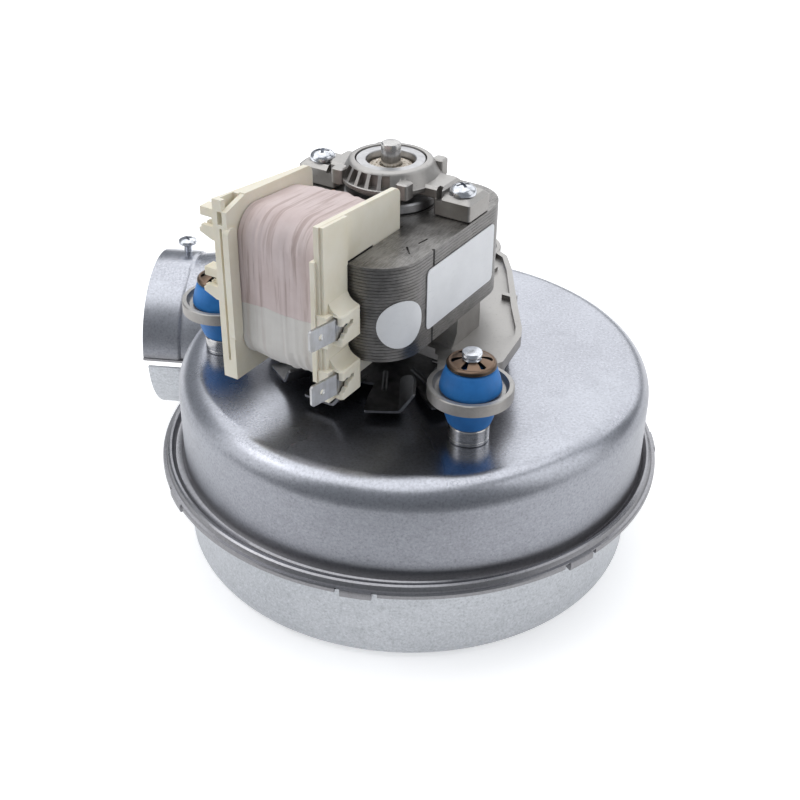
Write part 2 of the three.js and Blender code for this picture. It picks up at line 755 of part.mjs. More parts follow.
function carrier(z) {
  // a block beside the near flange, open in front so that the spade's face shows, with a slot for its root
  const outer = -FLANGE_IN - FLANGE_T - CARRIER_DEPTH;
  const top = z + CARRIER_HEIGHT;
  const jaw = box(TAB_BEND_X, COIL_FRONT + 11.6, outer, -FLANGE_IN - 0.5, z, top);
  const backing = box(COIL_FRONT - 0.6, COIL_FRONT + 5, TAB_Y + 1, -FLANGE_IN - 0.5, z, top);
  const slotBottom = z + TAB_LIFT - GAP;
  const slotTop = z + TAB_LIFT + TAB_HEIGHT + GAP;
  const slot = box(COIL_FRONT - 2, COIL_FRONT + 9, TAB_Y - 0.7, TAB_Y + 0.7, slotBottom, slotTop);
  return cut(joined(jaw, backing), slot);
}

function farFlange() {
  // thicker towards the front, hollow where the stator's leg runs, with a pocket at its top front corner
  const outer = FLANGE_IN + FLANGE_T + SPLAY;
  const wedge = outline([
    [COIL_FRONT, FLANGE_IN],
    [COIL_BACK, FLANGE_IN],
    [COIL_BACK, FLANGE_IN + FLANGE_T],
    [COIL_FRONT, outer],
  ]);
  const plate = solid(upright(flange(FAR_FLANGE_BOTTOM), FLANGE_IN, outer));
  const legRoom = box(LEG_FRONT - 0.5, 0, LEG_GAP / 2 - 0.25, 40, CORE_BOTTOM - GAP, CORE_TOP + GAP);
  const pocket = box(COIL_FRONT + 1.7, COIL_FRONT + 7.5, FLANGE_IN + FLANGE_T, outer - 1.5, POCKET_FLOOR, COIL_TOP + 1);
  const slit = box(COIL_FRONT - 1, COIL_FRONT + 1.8, FLANGE_IN + FLANGE_T, outer - 1.5, POCKET_FLOOR, POCKET_FLOOR + 4);
  return cut(plate.intersect(slab(wedge, FAR_FLANGE_BOTTOM - 1, COIL_TOP + 1)), legRoom, pocket, slit);
}

function bobbin() {
  const near = solid(upright(flange(NEAR_FLANGE_BOTTOM), -FLANGE_IN - FLANGE_T, -FLANGE_IN));
  const nearOuter = -FLANGE_IN - FLANGE_T;
  const pillarShape = outline([
    [COIL_FRONT, NEAR_FLANGE_BOTTOM],
    [COIL_FRONT + 12, NEAR_FLANGE_BOTTOM],
    [COIL_FRONT + 12, COIL_TOP - 0.1],
    [COIL_FRONT, COIL_TOP - 0.1],
  ]);
  const pillar = solid(upright(falling(pillarShape, 1), nearOuter - 1.1, -FLANGE_IN));
  const nearLip = box(COIL_FRONT - 1, COIL_FRONT + 1, -FLANGE_IN - 0.6, -FLANGE_IN + 0.8, 88, 125);
  const farLip = box(COIL_FRONT - 0.8, COIL_FRONT + 3.2, FLANGE_IN - 0.8, FLANGE_IN + 1.2, 92, 127);
  const tube = box(TUBE_X0, TUBE_X1, -FLANGE_IN - 1, FLANGE_IN + 1, TUBE_Z0, TUBE_Z1);
  let body = joined(near, farFlange(), pillar, nearLip, farLip, tube);
  body = joined(body, ...CARRIER_Z.map(carrier));
  for (const z of [104, 122.6]) {
    const shelf = box(COIL_FRONT + 0.5, COIL_FRONT + 7, FLANGE_IN + 3, FLANGE_IN + 10.4, z, z + 3.4);
    const knob = box(COIL_FRONT + 2, COIL_FRONT + 6, FLANGE_IN + 3, FLANGE_IN + 11.2, z + 5.4, z + 8);
    const spine = box(COIL_FRONT + 2, COIL_FRONT + 4, FLANGE_IN + 3, FLANGE_IN + 7.4, z, z + 8);
    body = joined(body, shelf, knob, spine);
  }
  const barRoom = box(LEG_FRONT - 1 - GAP, BAR_BACK + GAP, -40, 40, CORE_BOTTOM - GAP, CORE_TOP + GAP);
  return cut(body, barRoom).translate([0, COIL_Y, 0]);
}
add(motor, 'bobbin', bobbin(), ivory);

function coilBand(inset, radius, hole) {
  // a soft-cornered band round the bar, its axis along Y
  const shape = falling(
    roundedRectangle(WIND_X0 + inset, WIND_X1 - inset, WIND_Z0 + inset, WIND_Z1 - inset, radius),
    6,
  );
  shape.holes.push(new THREE.Path(hole));
  const half = FLANGE_IN - GAP;
  return solid(upright(shape, COIL_Y - half, COIL_Y + half));
}

const WIND_X0 = COIL_FRONT + 3.8;
const WIND_X1 = COIL_BACK - 1.8;
const WIND_Z0 = 83.8;
const WIND_Z1 = 131.5;
const TAPE_T = 1.2;
const tapeInside = falling(
  roundedRectangle(WIND_X0 + TAPE_T, WIND_X1 - TAPE_T, WIND_Z0 + TAPE_T, WIND_Z1 - TAPE_T, 6),
  6,
);
const tubeOutside = roundedRectangle(TUBE_X0 - GAP, TUBE_X1 + GAP, TUBE_Z0 - GAP, TUBE_Z1 + GAP, 0.5);
add(motor, 'coil_tape', coilBand(0, 7, tapeInside.getPoints(1)), tape);
add(motor, 'coil_winding', coilBand(TAPE_T + GAP, 5.5, distinct(tubeOutside.getPoints(2))), copper);

function spadeTerminal(z) {
  // a spade whose blade is bent a little towards the coil where it leaves its carrier
  const z0 = z + TAB_LIFT;
  const z1 = z0 + TAB_HEIGHT;
  const half = TAB_T / 2;
  const root = box(TAB_BEND_X - 0.5, COIL_FRONT + 8.5, -half, half, z0, z1);
  const bladeShape = roundedRectangle(-TAB_LENGTH, 0.5, z0, z1, 0.9);
  const hole = new THREE.CylinderGeometry(0.95, 0.95, 4, 12);
  hole.translate(-TAB_LENGTH + 4.2, 0, (z0 + z1) / 2);
  const blade = cut(solid(upright(bladeShape, -half, half)), solid(hole));
  const bent = blade.rotate([0, 0, TAB_BEND_DEGREES]).translate([TAB_BEND_X, 0, 0]);
  return joined(root, bent).translate([0, TAB_Y + COIL_Y, 0]);
}
add(motor, 'terminal_lower', spadeTerminal(CARRIER_Z[0]), steel);
add(motor, 'terminal_upper', spadeTerminal(CARRIER_Z[1]), steel);
SHADE_ANGLES.forEach((angles, i) => add(motor, `shading_ring_${i + 1}`, shadingRing(angles), copper));

// ---- blank labels ----
const LABEL_T = 0.25;
const labelShape = roundedRectangle(-28.5, 11, 95.5, 114.5, 1.6);
const faceLabel = upright(labelShape, -CORE_HALF - 0.1 - LABEL_T, -CORE_HALF - 0.1);
add(motor, 'rating_label', solid(faceLabel), paper);

function noseLabel() {
  const corner = RIGHT_LEG_CORNER_R;
  const centreX = LEG_FRONT + corner;
  const centreY = -CORE_HALF + corner;
  const wrap = turned([
    [corner + 0.1, 80],
    [corner + 0.1 + LABEL_T, 80],
    [corner + 0.1 + LABEL_T, 130],
    [corner + 0.1, 130],
  ], 40, centreX, centreY);
  const disc = new THREE.CylinderGeometry(7.4, 7.4, 12, 18);
  disc.translate(0, corner, 0);
  disc.rotateZ(THREE.MathUtils.degToRad(NOSE_LABEL_TURN));
  disc.translate(centreX, centreY, 101.5);
  return wrap.intersect(solid(disc));
}
add(motor, 'inspection_label', noseLabel(), paper);

// ---- rotor ----
add(motor, 'shaft', turned([
  [0, SHAFT_BOTTOM],
  [SHAFT_R - 0.4, SHAFT_BOTTOM],
  [SHAFT_R, SHAFT_BOTTOM + 0.4],
  [SHAFT_R, SHAFT_TOP - 0.6],
  [SHAFT_R - 0.6, SHAFT_TOP],
  [0, SHAFT_TOP],
], 20), steel);

const ROTOR_R = BORE_R - 0.4;
function sleeve(outer, z0, z1, sides = 24, inner = SHAFT_R + 0.1) {
  return turned([
    [inner, z0],
    [outer, z0],
    [outer, z1],
    [inner, z1],
  ], sides);
}
add(motor, 'rotor_core', sleeve(ROTOR_R, CORE_BOTTOM, CORE_TOP), lamination);
add(motor, 'rotor_ring_lower', sleeve(ROTOR_R - 0.4, CORE_BOTTOM - 3.2, CORE_BOTTOM - 0.1, 24, 8), aluminium);
add(motor, 'rotor_ring_upper', sleeve(ROTOR_R - 0.4, CORE_TOP + 0.1, CORE_TOP + 3.2, 24, 8), aluminium);

function coolingFan() {
  // one stamping: a flat hub disc with tabs, each with one edge turned up as a leaning vane
  const reach = FAN_R - 0.6;
  let body = rod(24, FAN_FLOOR, FAN_FLOOR + FAN_SHEET, 0, 0, 36);
  body = joined(body, rod(7.5, FAN_FLOOR, FAN_FLOOR + 6.5, 0, 0, 20));
  for (let i = 0; i < FAN_BLADES; i += 1) {
    const turn = (i * 360) / FAN_BLADES + FAN_PHASE;
    const tab = slab(outline([[22, -3.6], [FAN_R, -6.4], [FAN_R, 5.4], [22, 5.4]]), FAN_FLOOR, FAN_FLOOR + FAN_SHEET);
    const section = outline([[4.4, 0], [5.4, 0], [9.2, 6.4], [8.4, 6.8]]);
    const vane = slab(section, 24.5, reach).rotate([90, 0, 90]).translate([0, 0, FAN_FLOOR]);
    body = joined(body, tab.rotate([0, 0, turn]), vane.rotate([0, 0, turn]));
  }
  return cut(body, rod(SHAFT_R + 0.1, 60, 90, 0, 0, 20));
}
add(motor, 'cooling_fan', coolingFan(), aluminium);

const wheelHub = cut(sleeve(9, SHAFT_BOTTOM + 1, WHEEL_TOP - GAP, 24), rodAlongX(1.6, 2, 12, 0, 43, 10));
add(motor, 'wheel_hub', wheelHub, aluminium);
add(motor, 'hub_set_screw', rodAlongX(1.4, SHAFT_R + 0.3, 8.8, 0, 43, 8), steel);
add(motor, 'wheel_backplate', sleeve(WHEEL_R, WHEEL_TOP, WHEEL_TOP + SHEET, 32), galvanised);
add(motor, 'wheel_front_ring', turned([
  [WHEEL_EYE_R, WHEEL_BOTTOM],
  [WHEEL_R, WHEEL_BOTTOM + 1],
  [WHEEL_R, WHEEL_BOTTOM + 2],
  [WHEEL_EYE_R, WHEEL_BOTTOM + 1],
], 32), galvanised);

function wheelBlade() {
  // backward-curved strip between the eye and the rim
  const start = new THREE.Vector2(...polar(WHEEL_EYE_R + 0.5, 0));
  const middle = new THREE.Vector2(...polar(49, -0.2));
  const end = new THREE.Vector2(...polar(WHEEL_R - 0.5, -0.52));
  const line = new THREE.SplineCurve([start, middle, end]).getPoints(4);
  const left = [];
  const right = [];
  line.forEach((point, i) => {
    const ahead = line[Math.min(i + 1, line.length - 1)].clone().sub(line[Math.max(i - 1, 0)]).normalize();
    left.push([point.x - (ahead.y * BLADE_T) / 2, point.y + (ahead.x * BLADE_T) / 2]);
    right.unshift([point.x + (ahead.y * BLADE_T) / 2, point.y - (ahead.x * BLADE_T) / 2]);
  });
  return slab(outline([...left, ...right]), WHEEL_BOTTOM + 2 + 0.1, WHEEL_TOP - 0.1);
}
for (let i = 0; i < BLADE_COUNT; i += 1) {
  add(motor, `wheel_blade_${i + 1}`, wheelBlade().rotate([0, 0, (i * 360) / BLADE_COUNT]), galvanised);
}

export default fan;
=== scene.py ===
# Looks of the flue fan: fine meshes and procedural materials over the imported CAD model.
# Shapes are written in millimetres in one of two local frames, the casing's and the motor's,
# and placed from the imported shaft. Everything stored in Blender is in metres.
import math

import bmesh
import bpy
from mathutils import Matrix, Vector, noise


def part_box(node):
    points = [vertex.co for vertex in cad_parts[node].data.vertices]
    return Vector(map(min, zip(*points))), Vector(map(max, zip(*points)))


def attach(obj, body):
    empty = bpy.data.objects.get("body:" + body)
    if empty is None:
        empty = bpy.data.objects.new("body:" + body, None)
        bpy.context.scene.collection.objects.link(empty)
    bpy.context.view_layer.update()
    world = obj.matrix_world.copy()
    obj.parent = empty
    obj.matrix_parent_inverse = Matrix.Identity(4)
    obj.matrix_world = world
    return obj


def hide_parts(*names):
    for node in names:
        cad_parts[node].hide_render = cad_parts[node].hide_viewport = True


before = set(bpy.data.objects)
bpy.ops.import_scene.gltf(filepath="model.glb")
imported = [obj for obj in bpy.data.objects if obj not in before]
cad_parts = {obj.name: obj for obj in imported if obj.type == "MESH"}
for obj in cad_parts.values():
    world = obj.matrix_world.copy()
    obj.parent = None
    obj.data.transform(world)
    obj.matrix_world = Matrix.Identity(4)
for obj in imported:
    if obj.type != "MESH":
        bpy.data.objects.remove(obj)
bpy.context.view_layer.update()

MM = 0.001
BASE_LIFT = 2.5
MOTOR_TURN = math.radians(65.2)
SHAFT_IN_CASING = (-6.45, -3.86)

shaft_low, shaft_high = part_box("shaft")
SHAFT_X = (shaft_low[0] + shaft_high[0]) / 2 / MM
SHAFT_Y = (shaft_low[1] + shaft_high[1]) / 2 / MM
CASING = Matrix.Translation((SHAFT_X - SHAFT_IN_CASING[0], SHAFT_Y - SHAFT_IN_CASING[1], BASE_LIFT))
MOTOR = Matrix.Translation((SHAFT_X, SHAFT_Y, BASE_LIFT)) @ Matrix.Rotation(MOTOR_TURN, 4, "Z")

SHEET = 1.0
CASING_TOP = 63.8
PAN_BOTTOM = -2.5
DOME_R = 77.8
DOME_EDGE_R = 8.2
DOME_SHIFT = 1.2
PAN_R = 76.0
PAN_EDGE_R = 5.5
FLANGE_R = 84.0
FLANGE_Z = 31.0
OUTLET_R = 30.0
OUTLET_Y = 62.5
OUTLET_Z = 31.2
OUTLET_END_X = -104.4
INLET_R = 33.0
SCROLL_CENTRE = Vector((-38, 36))
SCROLL_LESS = 23.8
LOWER_RIM_TOP = 29.7
SPLIT = OUTLET_Z + 1.2
SLOT_HEIGHT = 2.6
SLOT_END_X = -73.0
SPIGOT_ROOT_X = -60.0
BORE_END_X = -45.0
SHOULDER_END_X = -41.0
SHOULDER_LAP = 0.1
CRIMP_ANGLES = (-146, -94, -45, 5)
CRIMP_HALF = 3.2
CREASE_X = -90.0
RIM_SHADE_Z = 35.5
SEAM_ANGLE = -87.0
FIXING_HOLES = (30, 150, 270)
FIXING_CIRCLE_R = 52.0

STUD_CENTRE = (-1.0, 1.0)
STUD_CIRCLE_R = 53.5
STUD_ANGLES = (-120.2, 117, 1)
RING_R = 12.75
RING_FLOOR = 78.8
RING_FLOOR_T = 2.0
RIM_TOP = 82.5
SPACER_TOP = 69.2
GROMMET_TOP = 88.6
CLIP_SLOTS = 6
PILLAR_IN = 19.0
PILLAR_OUT = 29.4

CORE_BOTTOM = 90.0
CORE_TOP = 119.6
CORE_HALF = 30.0
CORE_BACK = 23.8
LEG_FRONT = -45.0
BAR_BACK = -32.0
BORE_R = 15.0
SCREW_Y = 25.0
SHAFT_R = 3.0
SHAFT_BOTTOM = 37.0
SHAFT_TOP = 137.2
BOSS_BOTTOM = 126.0
BOSS_TOP = 132.5
BOSS_GROOVES = 5
BOSS_GROOVE_FIRST = -154.3
BOSS_GROOVE_PITCH = 15.0
CUP_BOTTOM = 124.2
FOOT_TOP = 126.4

COIL_Y = 2.0
COIL_FRONT = -58.0
COIL_BACK = -17.4
COIL_TOP = 135.0
COIL_DROP = 2.6
NEAR_FLANGE_BOTTOM = 81.6
FAR_FLANGE_BOTTOM = 78.7
FLANGE_IN = 14.5
FLANGE_T = 1.6
SPLAY = 3.2
POCKET_FLOOR = 127.5
LUG_Z = (104.0, 122.6)
CARRIER_Z = (82.3, 99.6)
CARRIER_HEIGHT = 9.6
CARRIER_DEPTH = 5.6
TAB_LIFT = 2.2
TAB_HEIGHT = 6.5
TAB_LENGTH = 10.0
TAB_T = 0.8
TAB_Y = -19.7
TAB_BEND_X = -56.0
TAB_BEND_DEGREES = -10.8
WIND_X0 = -54.2
WIND_X1 = -19.2
WIND_Z0 = 83.8
WIND_Z1 = 131.5
TAPE_OVERLAP_Z = 106.0

WHEEL_R = 60.0
WHEEL_EYE_R = 36.0
WHEEL_BOTTOM = 12.0
WHEEL_TOP = 50.0
WHEEL_BLADES = 12
FAN_R = 39.5
FAN_FLOOR = 66.6
FAN_BLADES = 12
FAN_PHASE = 30.0


# ---- shapes: each is (corners, faces) in millimetres ----
def polar(radius, degrees, centre=(0.0, 0.0)):
    angle = math.radians(degrees)
    return (centre[0] + radius * math.cos(angle), centre[1] + radius * math.sin(angle))


def arc(radius, start, end, steps, centre=(0.0, 0.0)):
    return [polar(radius, start + (end - start) * i / steps, centre) for i in range(steps + 1)]


def loft(rings, closed=False):
    """Skin through rings of equal length; the ends are capped unless the rings close on themselves."""
    count = len(rings[0])
    corners = [point for ring in rings for point in ring]
    faces = []
    last = len(rings) if closed else len(rings) - 1
    for layer in range(last):
        low = layer * count
        high = ((layer + 1) % len(rings)) * count
        for i in range(count):
            j = (i + 1) % count
            faces.append((low + i, low + j, high + j, high + i))
    if not closed:
        faces.append(tuple(reversed(range(count))))
        faces.append(tuple(range((len(rings) - 1) * count, len(rings) * count)))
    return corners, faces


def prism(outline, z0, z1):
    return loft([[(x, y, z) for x, y in outline] for z in (z0, z1)])


def box(x0, x1, y0, y1, z0, z1):
    return prism([(x0, y0), (x1, y0), (x1, y1), (x0, y1)], z0, z1)


def upright(outline, y0, y1):
    """A plate whose outline is given in x and z, thick along y."""
    return loft([[(x, y, z) for x, z in outline] for y in (y1, y0)])


def rod(radius, z0, z1, x=0.0, y=0.0, sides=32):
    return prism([polar(radius, 360 * i / sides, (x, y)) for i in range(sides)], z0, z1)


def turned(profile, sides=64, x=0.0, y=0.0):
    """A lathe shape about Z. A profile that touches the axis at both ends closes there, else on itself."""
    on_axis = profile[0][0] == 0 and profile[-1][0] == 0
    rows = profile[1:-1] if on_axis else profile
    corners = []
    for r, z in rows:
        corners += [(*polar(r, 360 * i / sides, (x, y)), z) for i in range(sides)]
    faces = []
    steps = len(rows) - 1 if on_axis else len(rows)
    for k in range(steps):
        low = k * sides
        high = ((k + 1) % len(rows)) * sides
        for i in range(sides):
            j = (i + 1) % sides
            faces.append((low + i, low + j, high + j, high + i))
    if on_axis:
        for row, z, flip in ((0, profile[0][1], True), (len(rows) - 1, profile[-1][1], False)):
            tip = len(corners)
            corners.append((x, y, z))
            for i in range(sides):
                j = (i + 1) % sides
                edge = (row * sides + i, row * sides + j)
                faces.append((edge[1], edge[0], tip) if flip else (edge[0], edge[1], tip))
    return corners, faces


def rounded_outline(x0, x1, y0, y1, radius, steps=6):
    return (
        arc(radius, -90, 0, steps, (x1 - radius, y0 + radius))
        + arc(radius, 0, 90, steps, (x1 - radius, y1 - radius))
        + arc(radius, 90, 180, steps, (x0 + radius, y1 - radius))
        + arc(radius, 180, 270, steps, (x0 + radius, y0 + radius))
    )


def tube(path, radius, sides=12, closed=False):
    """A round wire along a list of points."""
    rings = []
    count = len(path)
    side = None
    for i, point in enumerate(path):
        ahead = Vector(path[(i + 1) % count] if closed else path[min(i + 1, count - 1)])
        behind = Vector(path[i - 1] if closed or i else path[0])
        along = (ahead - behind).normalized()
        if side is None:
            side = along.orthogonal().normalized()
        side = (side - along * side.dot(along)).normalized()
        across = along.cross(side)
        ring = []
        for k in range(sides):
            turn = 2 * math.pi * k / sides
            ring.append(tuple(Vector(point) + (side * math.cos(turn) + across * math.sin(turn)) * radius))
        rings.append(ring)
    return loft(rings, closed=closed)


def raised(profile, z):
    """A lathe profile whose heights were given from a level."""
    return [(r, z + height) for r, height in profile]


def moved(shape, matrix):
    corners, faces = shape
    return [tuple(matrix @ Vector(c)) for c in corners], faces


def spun(shape, degrees):
    return moved(shape, Matrix.Rotation(math.radians(degrees), 4, "Z"))


def shifted(shape, x=0.0, y=0.0, z=0.0):
    return moved(shape, Matrix.Translation((x, y, z)))


def along_x(shape, y, z):
    """Turns a shape made about Z so that its axis runs along X at that y and z."""
    return moved(shape, Matrix.Translation((0, y, z)) @ Matrix.Rotation(math.pi / 2, 4, "Y"))


# ---- objects ----
def to_object(name, *shapes):
    """One object from one or more shapes, with its faces turned outwards."""
    corners, faces = [], []
    for shape_corners, shape_faces in shapes:
        first = len(corners)
        corners += shape_corners
        faces += [tuple(i + first for i in face) for face in shape_faces]
    mesh = bpy.data.meshes.new(name)
    mesh.from_pydata(corners, [], faces)
    mesh.validate()
    obj = bpy.data.objects.new(name, mesh)
    bpy.context.scene.collection.objects.link(obj)
    face_outwards(obj)
    return obj


def face_outwards(obj):
    work = bmesh.new()
    work.from_mesh(obj.data)
    bmesh.ops.recalc_face_normals(work, faces=work.faces)
    work.to_mesh(obj.data)
    work.free()


def applied(obj):
    """Bakes the object's modifiers into its mesh."""
    graph = bpy.context.evaluated_depsgraph_get()
    mesh = bpy.data.meshes.new_from_object(obj.evaluated_get(graph))
    obj.modifiers.clear()
    obj.data = mesh
    return obj


def join(obj, tool, operation="UNION"):
    """A boolean with another object, which is used up."""
    step = obj.modifiers.new("step", "BOOLEAN")
    step.object = tool
    step.operation = operation
    step.solver = "EXACT"
    applied(obj)
    bpy.data.objects.remove(tool)
    return obj


def combine(obj, operation, *shapes):
    for shape in shapes:
        join(obj, to_object("tool", shape), operation)
    return obj


def added(obj, *shapes):
    return combine(obj, "UNION", *shapes)


def cut(obj, *shapes):
    return combine(obj, "DIFFERENCE", *shapes)


def softened(obj, width, segments=2, angle=40):
    """Breaks the sharp edges with a small round."""
    step = obj.modifiers.new("edges", "BEVEL")
    step.width = width
    step.segments = segments
    step.limit_method = "ANGLE"
    step.angle_limit = math.radians(angle)
    step.use_clamp_overlap = True
    return applied(obj)


def place(obj, matrix, material, body, nodes, smooth=32):
    """Moves a millimetre shape to its place in metres and ties it to the CAD."""
    obj.data.transform(Matrix.Scale(MM, 4) @ matrix)
    obj.data.materials.clear()
    obj.data.materials.append(material)
    for polygon in obj.data.polygons:
        polygon.use_smooth = True
    obj.data.set_sharp_from_angle(angle=math.radians(smooth))
    step = obj.modifiers.new("normals", "WEIGHTED_NORMAL")
    step.keep_sharp = True
    applied(obj)
    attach(obj, body)
    if nodes:
        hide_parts(*nodes)
    return obj


# ---- materials ----
class Surface:
    """A node material: colour, roughness and bump are built from object coordinates."""

    def __init__(self, name, metallic=0.0, specular=0.5):
        self.material = bpy.data.materials.new(name)
        self.material.use_nodes = True
        self.tree = self.material.node_tree
        self.shader = self.tree.nodes["Principled BSDF"]
        self.shader.inputs["Metallic"].default_value = metallic
        self.shader.inputs["Specular IOR Level"].default_value = specular
        self.coords = self.tree.nodes.new("ShaderNodeTexCoord").outputs["Object"]

    def feed(self, value, socket):
        """Sets a socket, or links it when the value is another node's output."""
        if isinstance(value, bpy.types.NodeSocket):
            self.tree.links.new(value, socket)
        else:
            socket.default_value = value

    def mapped(self, stretch=(1, 1, 1), turn=0.0):
        """The coordinates turned about Z, then stretched along the turned axes."""
        vector = self.coords
        for socket, value in (("Rotation", (0, 0, turn)), ("Scale", stretch)):
            node = self.tree.nodes.new("ShaderNodeMapping")
            node.inputs[socket].default_value = value
            self.feed(vector, node.inputs["Vector"])
            vector = node.outputs["Vector"]
        return vector

    def noise(self, size_mm, detail=4, rough=0.6, stretch=(1, 1, 1), turn=0.0, distortion=0.0):
        node = self.tree.nodes.new("ShaderNodeTexNoise")
        node.inputs["Scale"].default_value = 1000 / size_mm
        node.inputs["Detail"].default_value = detail
        node.inputs["Roughness"].default_value = rough
        node.inputs["Distortion"].default_value = distortion
        self.feed(self.mapped(stretch, turn), node.inputs["Vector"])
        return node.outputs["Fac"]

    def ramp(self, factor, *stops):
        node = self.tree.nodes.new("ShaderNodeValToRGB")
        ramp = node.color_ramp
        while len(ramp.elements) < len(stops):
            ramp.elements.new(0.5)
        for element, (where, value) in zip(ramp.elements, stops):
            element.position = where
            element.color = (*value, 1)
        self.feed(factor, node.inputs["Fac"])
        return node.outputs["Color"]

    def level(self, factor, low, high, start=0.3, end=0.7):
        """Low where the factor is under start, high where it is over end."""
        node = self.tree.nodes.new("ShaderNodeMapRange")
        self.feed(factor, node.inputs["Value"])
        node.inputs["From Min"].default_value = start
        node.inputs["From Max"].default_value = end
        node.inputs["To Min"].default_value = low
        node.inputs["To Max"].default_value = high
        return node.outputs["Result"]

    def mixed(self, factor, first, second, blend="MIX"):
        """A colour between two others; a plain colour is three numbers."""
        node = self.tree.nodes.new("ShaderNodeMix")
        node.data_type = "RGBA"
        node.blend_type = blend
        factor_input, *_, color_a, color_b = node.inputs[:8]
        self.feed(factor, factor_input)
        for value, socket in ((first, color_a), (second, color_b)):
            self.feed(value if isinstance(value, bpy.types.NodeSocket) else (*value, 1), socket)
        return node.outputs[2]

    def maths(self, operation, first, second):
        node = self.tree.nodes.new("ShaderNodeMath")
        node.operation = operation
        self.feed(first, node.inputs[0])
        self.feed(second, node.inputs[1])
        return node.outputs[0]

    def height(self):
        """The z coordinate in metres, for finishes that change with height."""
        node = self.tree.nodes.new("ShaderNodeSeparateXYZ")
        self.feed(self.coords, node.inputs["Vector"])
        return node.outputs["Z"]

    def facing_up(self):
        """1 on faces that look up, 0 on upright ones."""
        geometry = self.tree.nodes.new("ShaderNodeNewGeometry")
        node = self.tree.nodes.new("ShaderNodeSeparateXYZ")
        self.feed(geometry.outputs["Normal"], node.inputs["Vector"])
        return self.level(node.outputs["Z"], 0, 1, 0.35, 0.85)

    def finish(self, color, roughness, *bumps):
        """Links up the shader; each bump is (height, strength, depth in mm)."""
        self.feed(color, self.shader.inputs["Base Color"])
        self.feed(roughness, self.shader.inputs["Roughness"])
        normal = None
        for height, strength, depth_mm in bumps:
            node = self.tree.nodes.new("ShaderNodeBump")
            node.inputs["Strength"].default_value = strength
            node.inputs["Distance"].default_value = depth_mm * MM
            self.feed(height, node.inputs["Height"])
            if normal:
                self.feed(normal, node.inputs["Normal"])
            normal = node.outputs["Normal"]
        if normal:
            self.feed(normal, self.shader.inputs["Normal"])
        return self.material


def galvanised(name, light, dark, rough_low, rough_high, wall_shade, rim_shade=0.0):
    """Zinc-coated sheet with a fine grain; upright walls are duller, and painted shade makes them darker than flat
    faces.
    """
    s = Surface(name, metallic=1.0)
    clouds = s.noise(38, 4, 0.5, distortion=0.3)
    tone = s.ramp(clouds, (0.3, dark), (0.68, light))
    grain = s.noise(0.8, 4, 0.75)
    tone = s.mixed(s.level(grain, 0.0, 0.45, 0.52, 0.66), tone, tuple(min(1.0, v * 1.3) for v in light))
    tone = s.mixed(s.level(grain, 0.5, 0.0, 0.34, 0.48), tone, tuple(v * 0.6 for v in dark))
    streaks = s.level(s.noise(7, 5, 0.6, stretch=(1, 1, 3)), 0.0, 0.22, 0.50, 0.72)
    tone = s.mixed(streaks, tone, tuple(v * 0.65 for v in dark))
    speck = s.level(s.noise(1.3, 6, 0.8), 1.0, 0.0, 0.28, 0.32)
    tone = s.mixed(s.maths("MULTIPLY", speck, 0.5), tone, (0.10, 0.10, 0.11))
    # Painted shade: upright walls are multiplied by wall_shade, while faces that look up keep their tone.
    flat = s.facing_up()
    tone = s.mixed(flat, s.mixed(1.0, tone, (wall_shade,) * 3, "MULTIPLY"), tone)
    # Painted shade: with rim_shade, the sheet below RIM_SHADE_Z is darkened towards a dark grey round the rim.
    if rim_shade:
        rim = s.level(s.height(), rim_shade, 0.0, RIM_SHADE_Z * MM, (RIM_SHADE_Z + 3) * MM)
        tone = s.mixed(rim, tone, (0.20, 0.185, 0.175))
    wall_rough = s.level(clouds, rough_high, rough_high + 0.08, 0.3, 0.7)
    flat_rough = s.level(clouds, rough_low, rough_low + 0.05, 0.3, 0.7)
    rough = s.maths("ADD", s.maths("MULTIPLY", flat_rough, flat),
                    s.maths("MULTIPLY", wall_rough, s.maths("SUBTRACT", 1.0, flat)))
    return s.finish(tone, rough, (grain, 0.16, 0.05), (s.noise(40, 1), 0.04, 0.6))


def cast_metal(name):
    """Die-cast metal: grainy, with small dark pits; faces that look up get painted light."""
    s = Surface(name, metallic=0.9)
    clouds = s.noise(8, 5, 0.6)
    tone = s.ramp(clouds, (0.3, (0.28, 0.265, 0.25)), (0.7, (0.41, 0.395, 0.38)))
    # Painted light: faces that look up are mixed towards a pale grey.
    light = s.mixed(s.maths("MULTIPLY", s.facing_up(), 0.55), tone, (0.58, 0.57, 0.555))
    grain = s.noise(0.5, 4, 0.75)
    pits = s.level(s.noise(0.9, 5, 0.8), 1.0, 0.0, 0.33, 0.42)
    tone = s.mixed(s.maths("MULTIPLY", pits, 0.35), light, (0.12, 0.11, 0.10))
    return s.finish(tone, s.level(clouds, 0.36, 0.52), (grain, 0.30, 0.10), (s.noise(3, 3), 0.12, 0.2))


def bright_metal(name, light, dark, rough_low, rough_high, grain=(1, 1, 1), grain_mm=1.6, depth_mm=0.04):
    """Plain worked metal, whose fine grain is stretched the way it was drawn or turned."""
    s = Surface(name, metallic=1.0)
    drawn = s.noise(grain_mm, 4, 0.6, stretch=grain)
    clouds = s.noise(5, 5, 0.6)
    tone = s.ramp(s.maths("MULTIPLY", s.maths("ADD", drawn, clouds), 0.5), (0.33, dark), (0.62, light))
    return s.finish(tone, s.level(clouds, rough_low, rough_high), (drawn, 0.12, depth_mm))


def lamination_edge(name):
    """The cut edges of the sheets."""
    s = Surface(name, metallic=0.9)
    clouds = s.noise(6, 5, 0.6)
    streaks = s.noise(1.2, 4, 0.65, stretch=(1, 1, 7))
    tone = s.ramp(s.maths("MULTIPLY", s.maths("ADD", clouds, streaks), 0.5),
                  (0.34, (0.11, 0.105, 0.10)), (0.64, (0.27, 0.262, 0.255)))
    return s.finish(tone, s.level(clouds, 0.32, 0.48), (streaks, 0.2, 0.08))


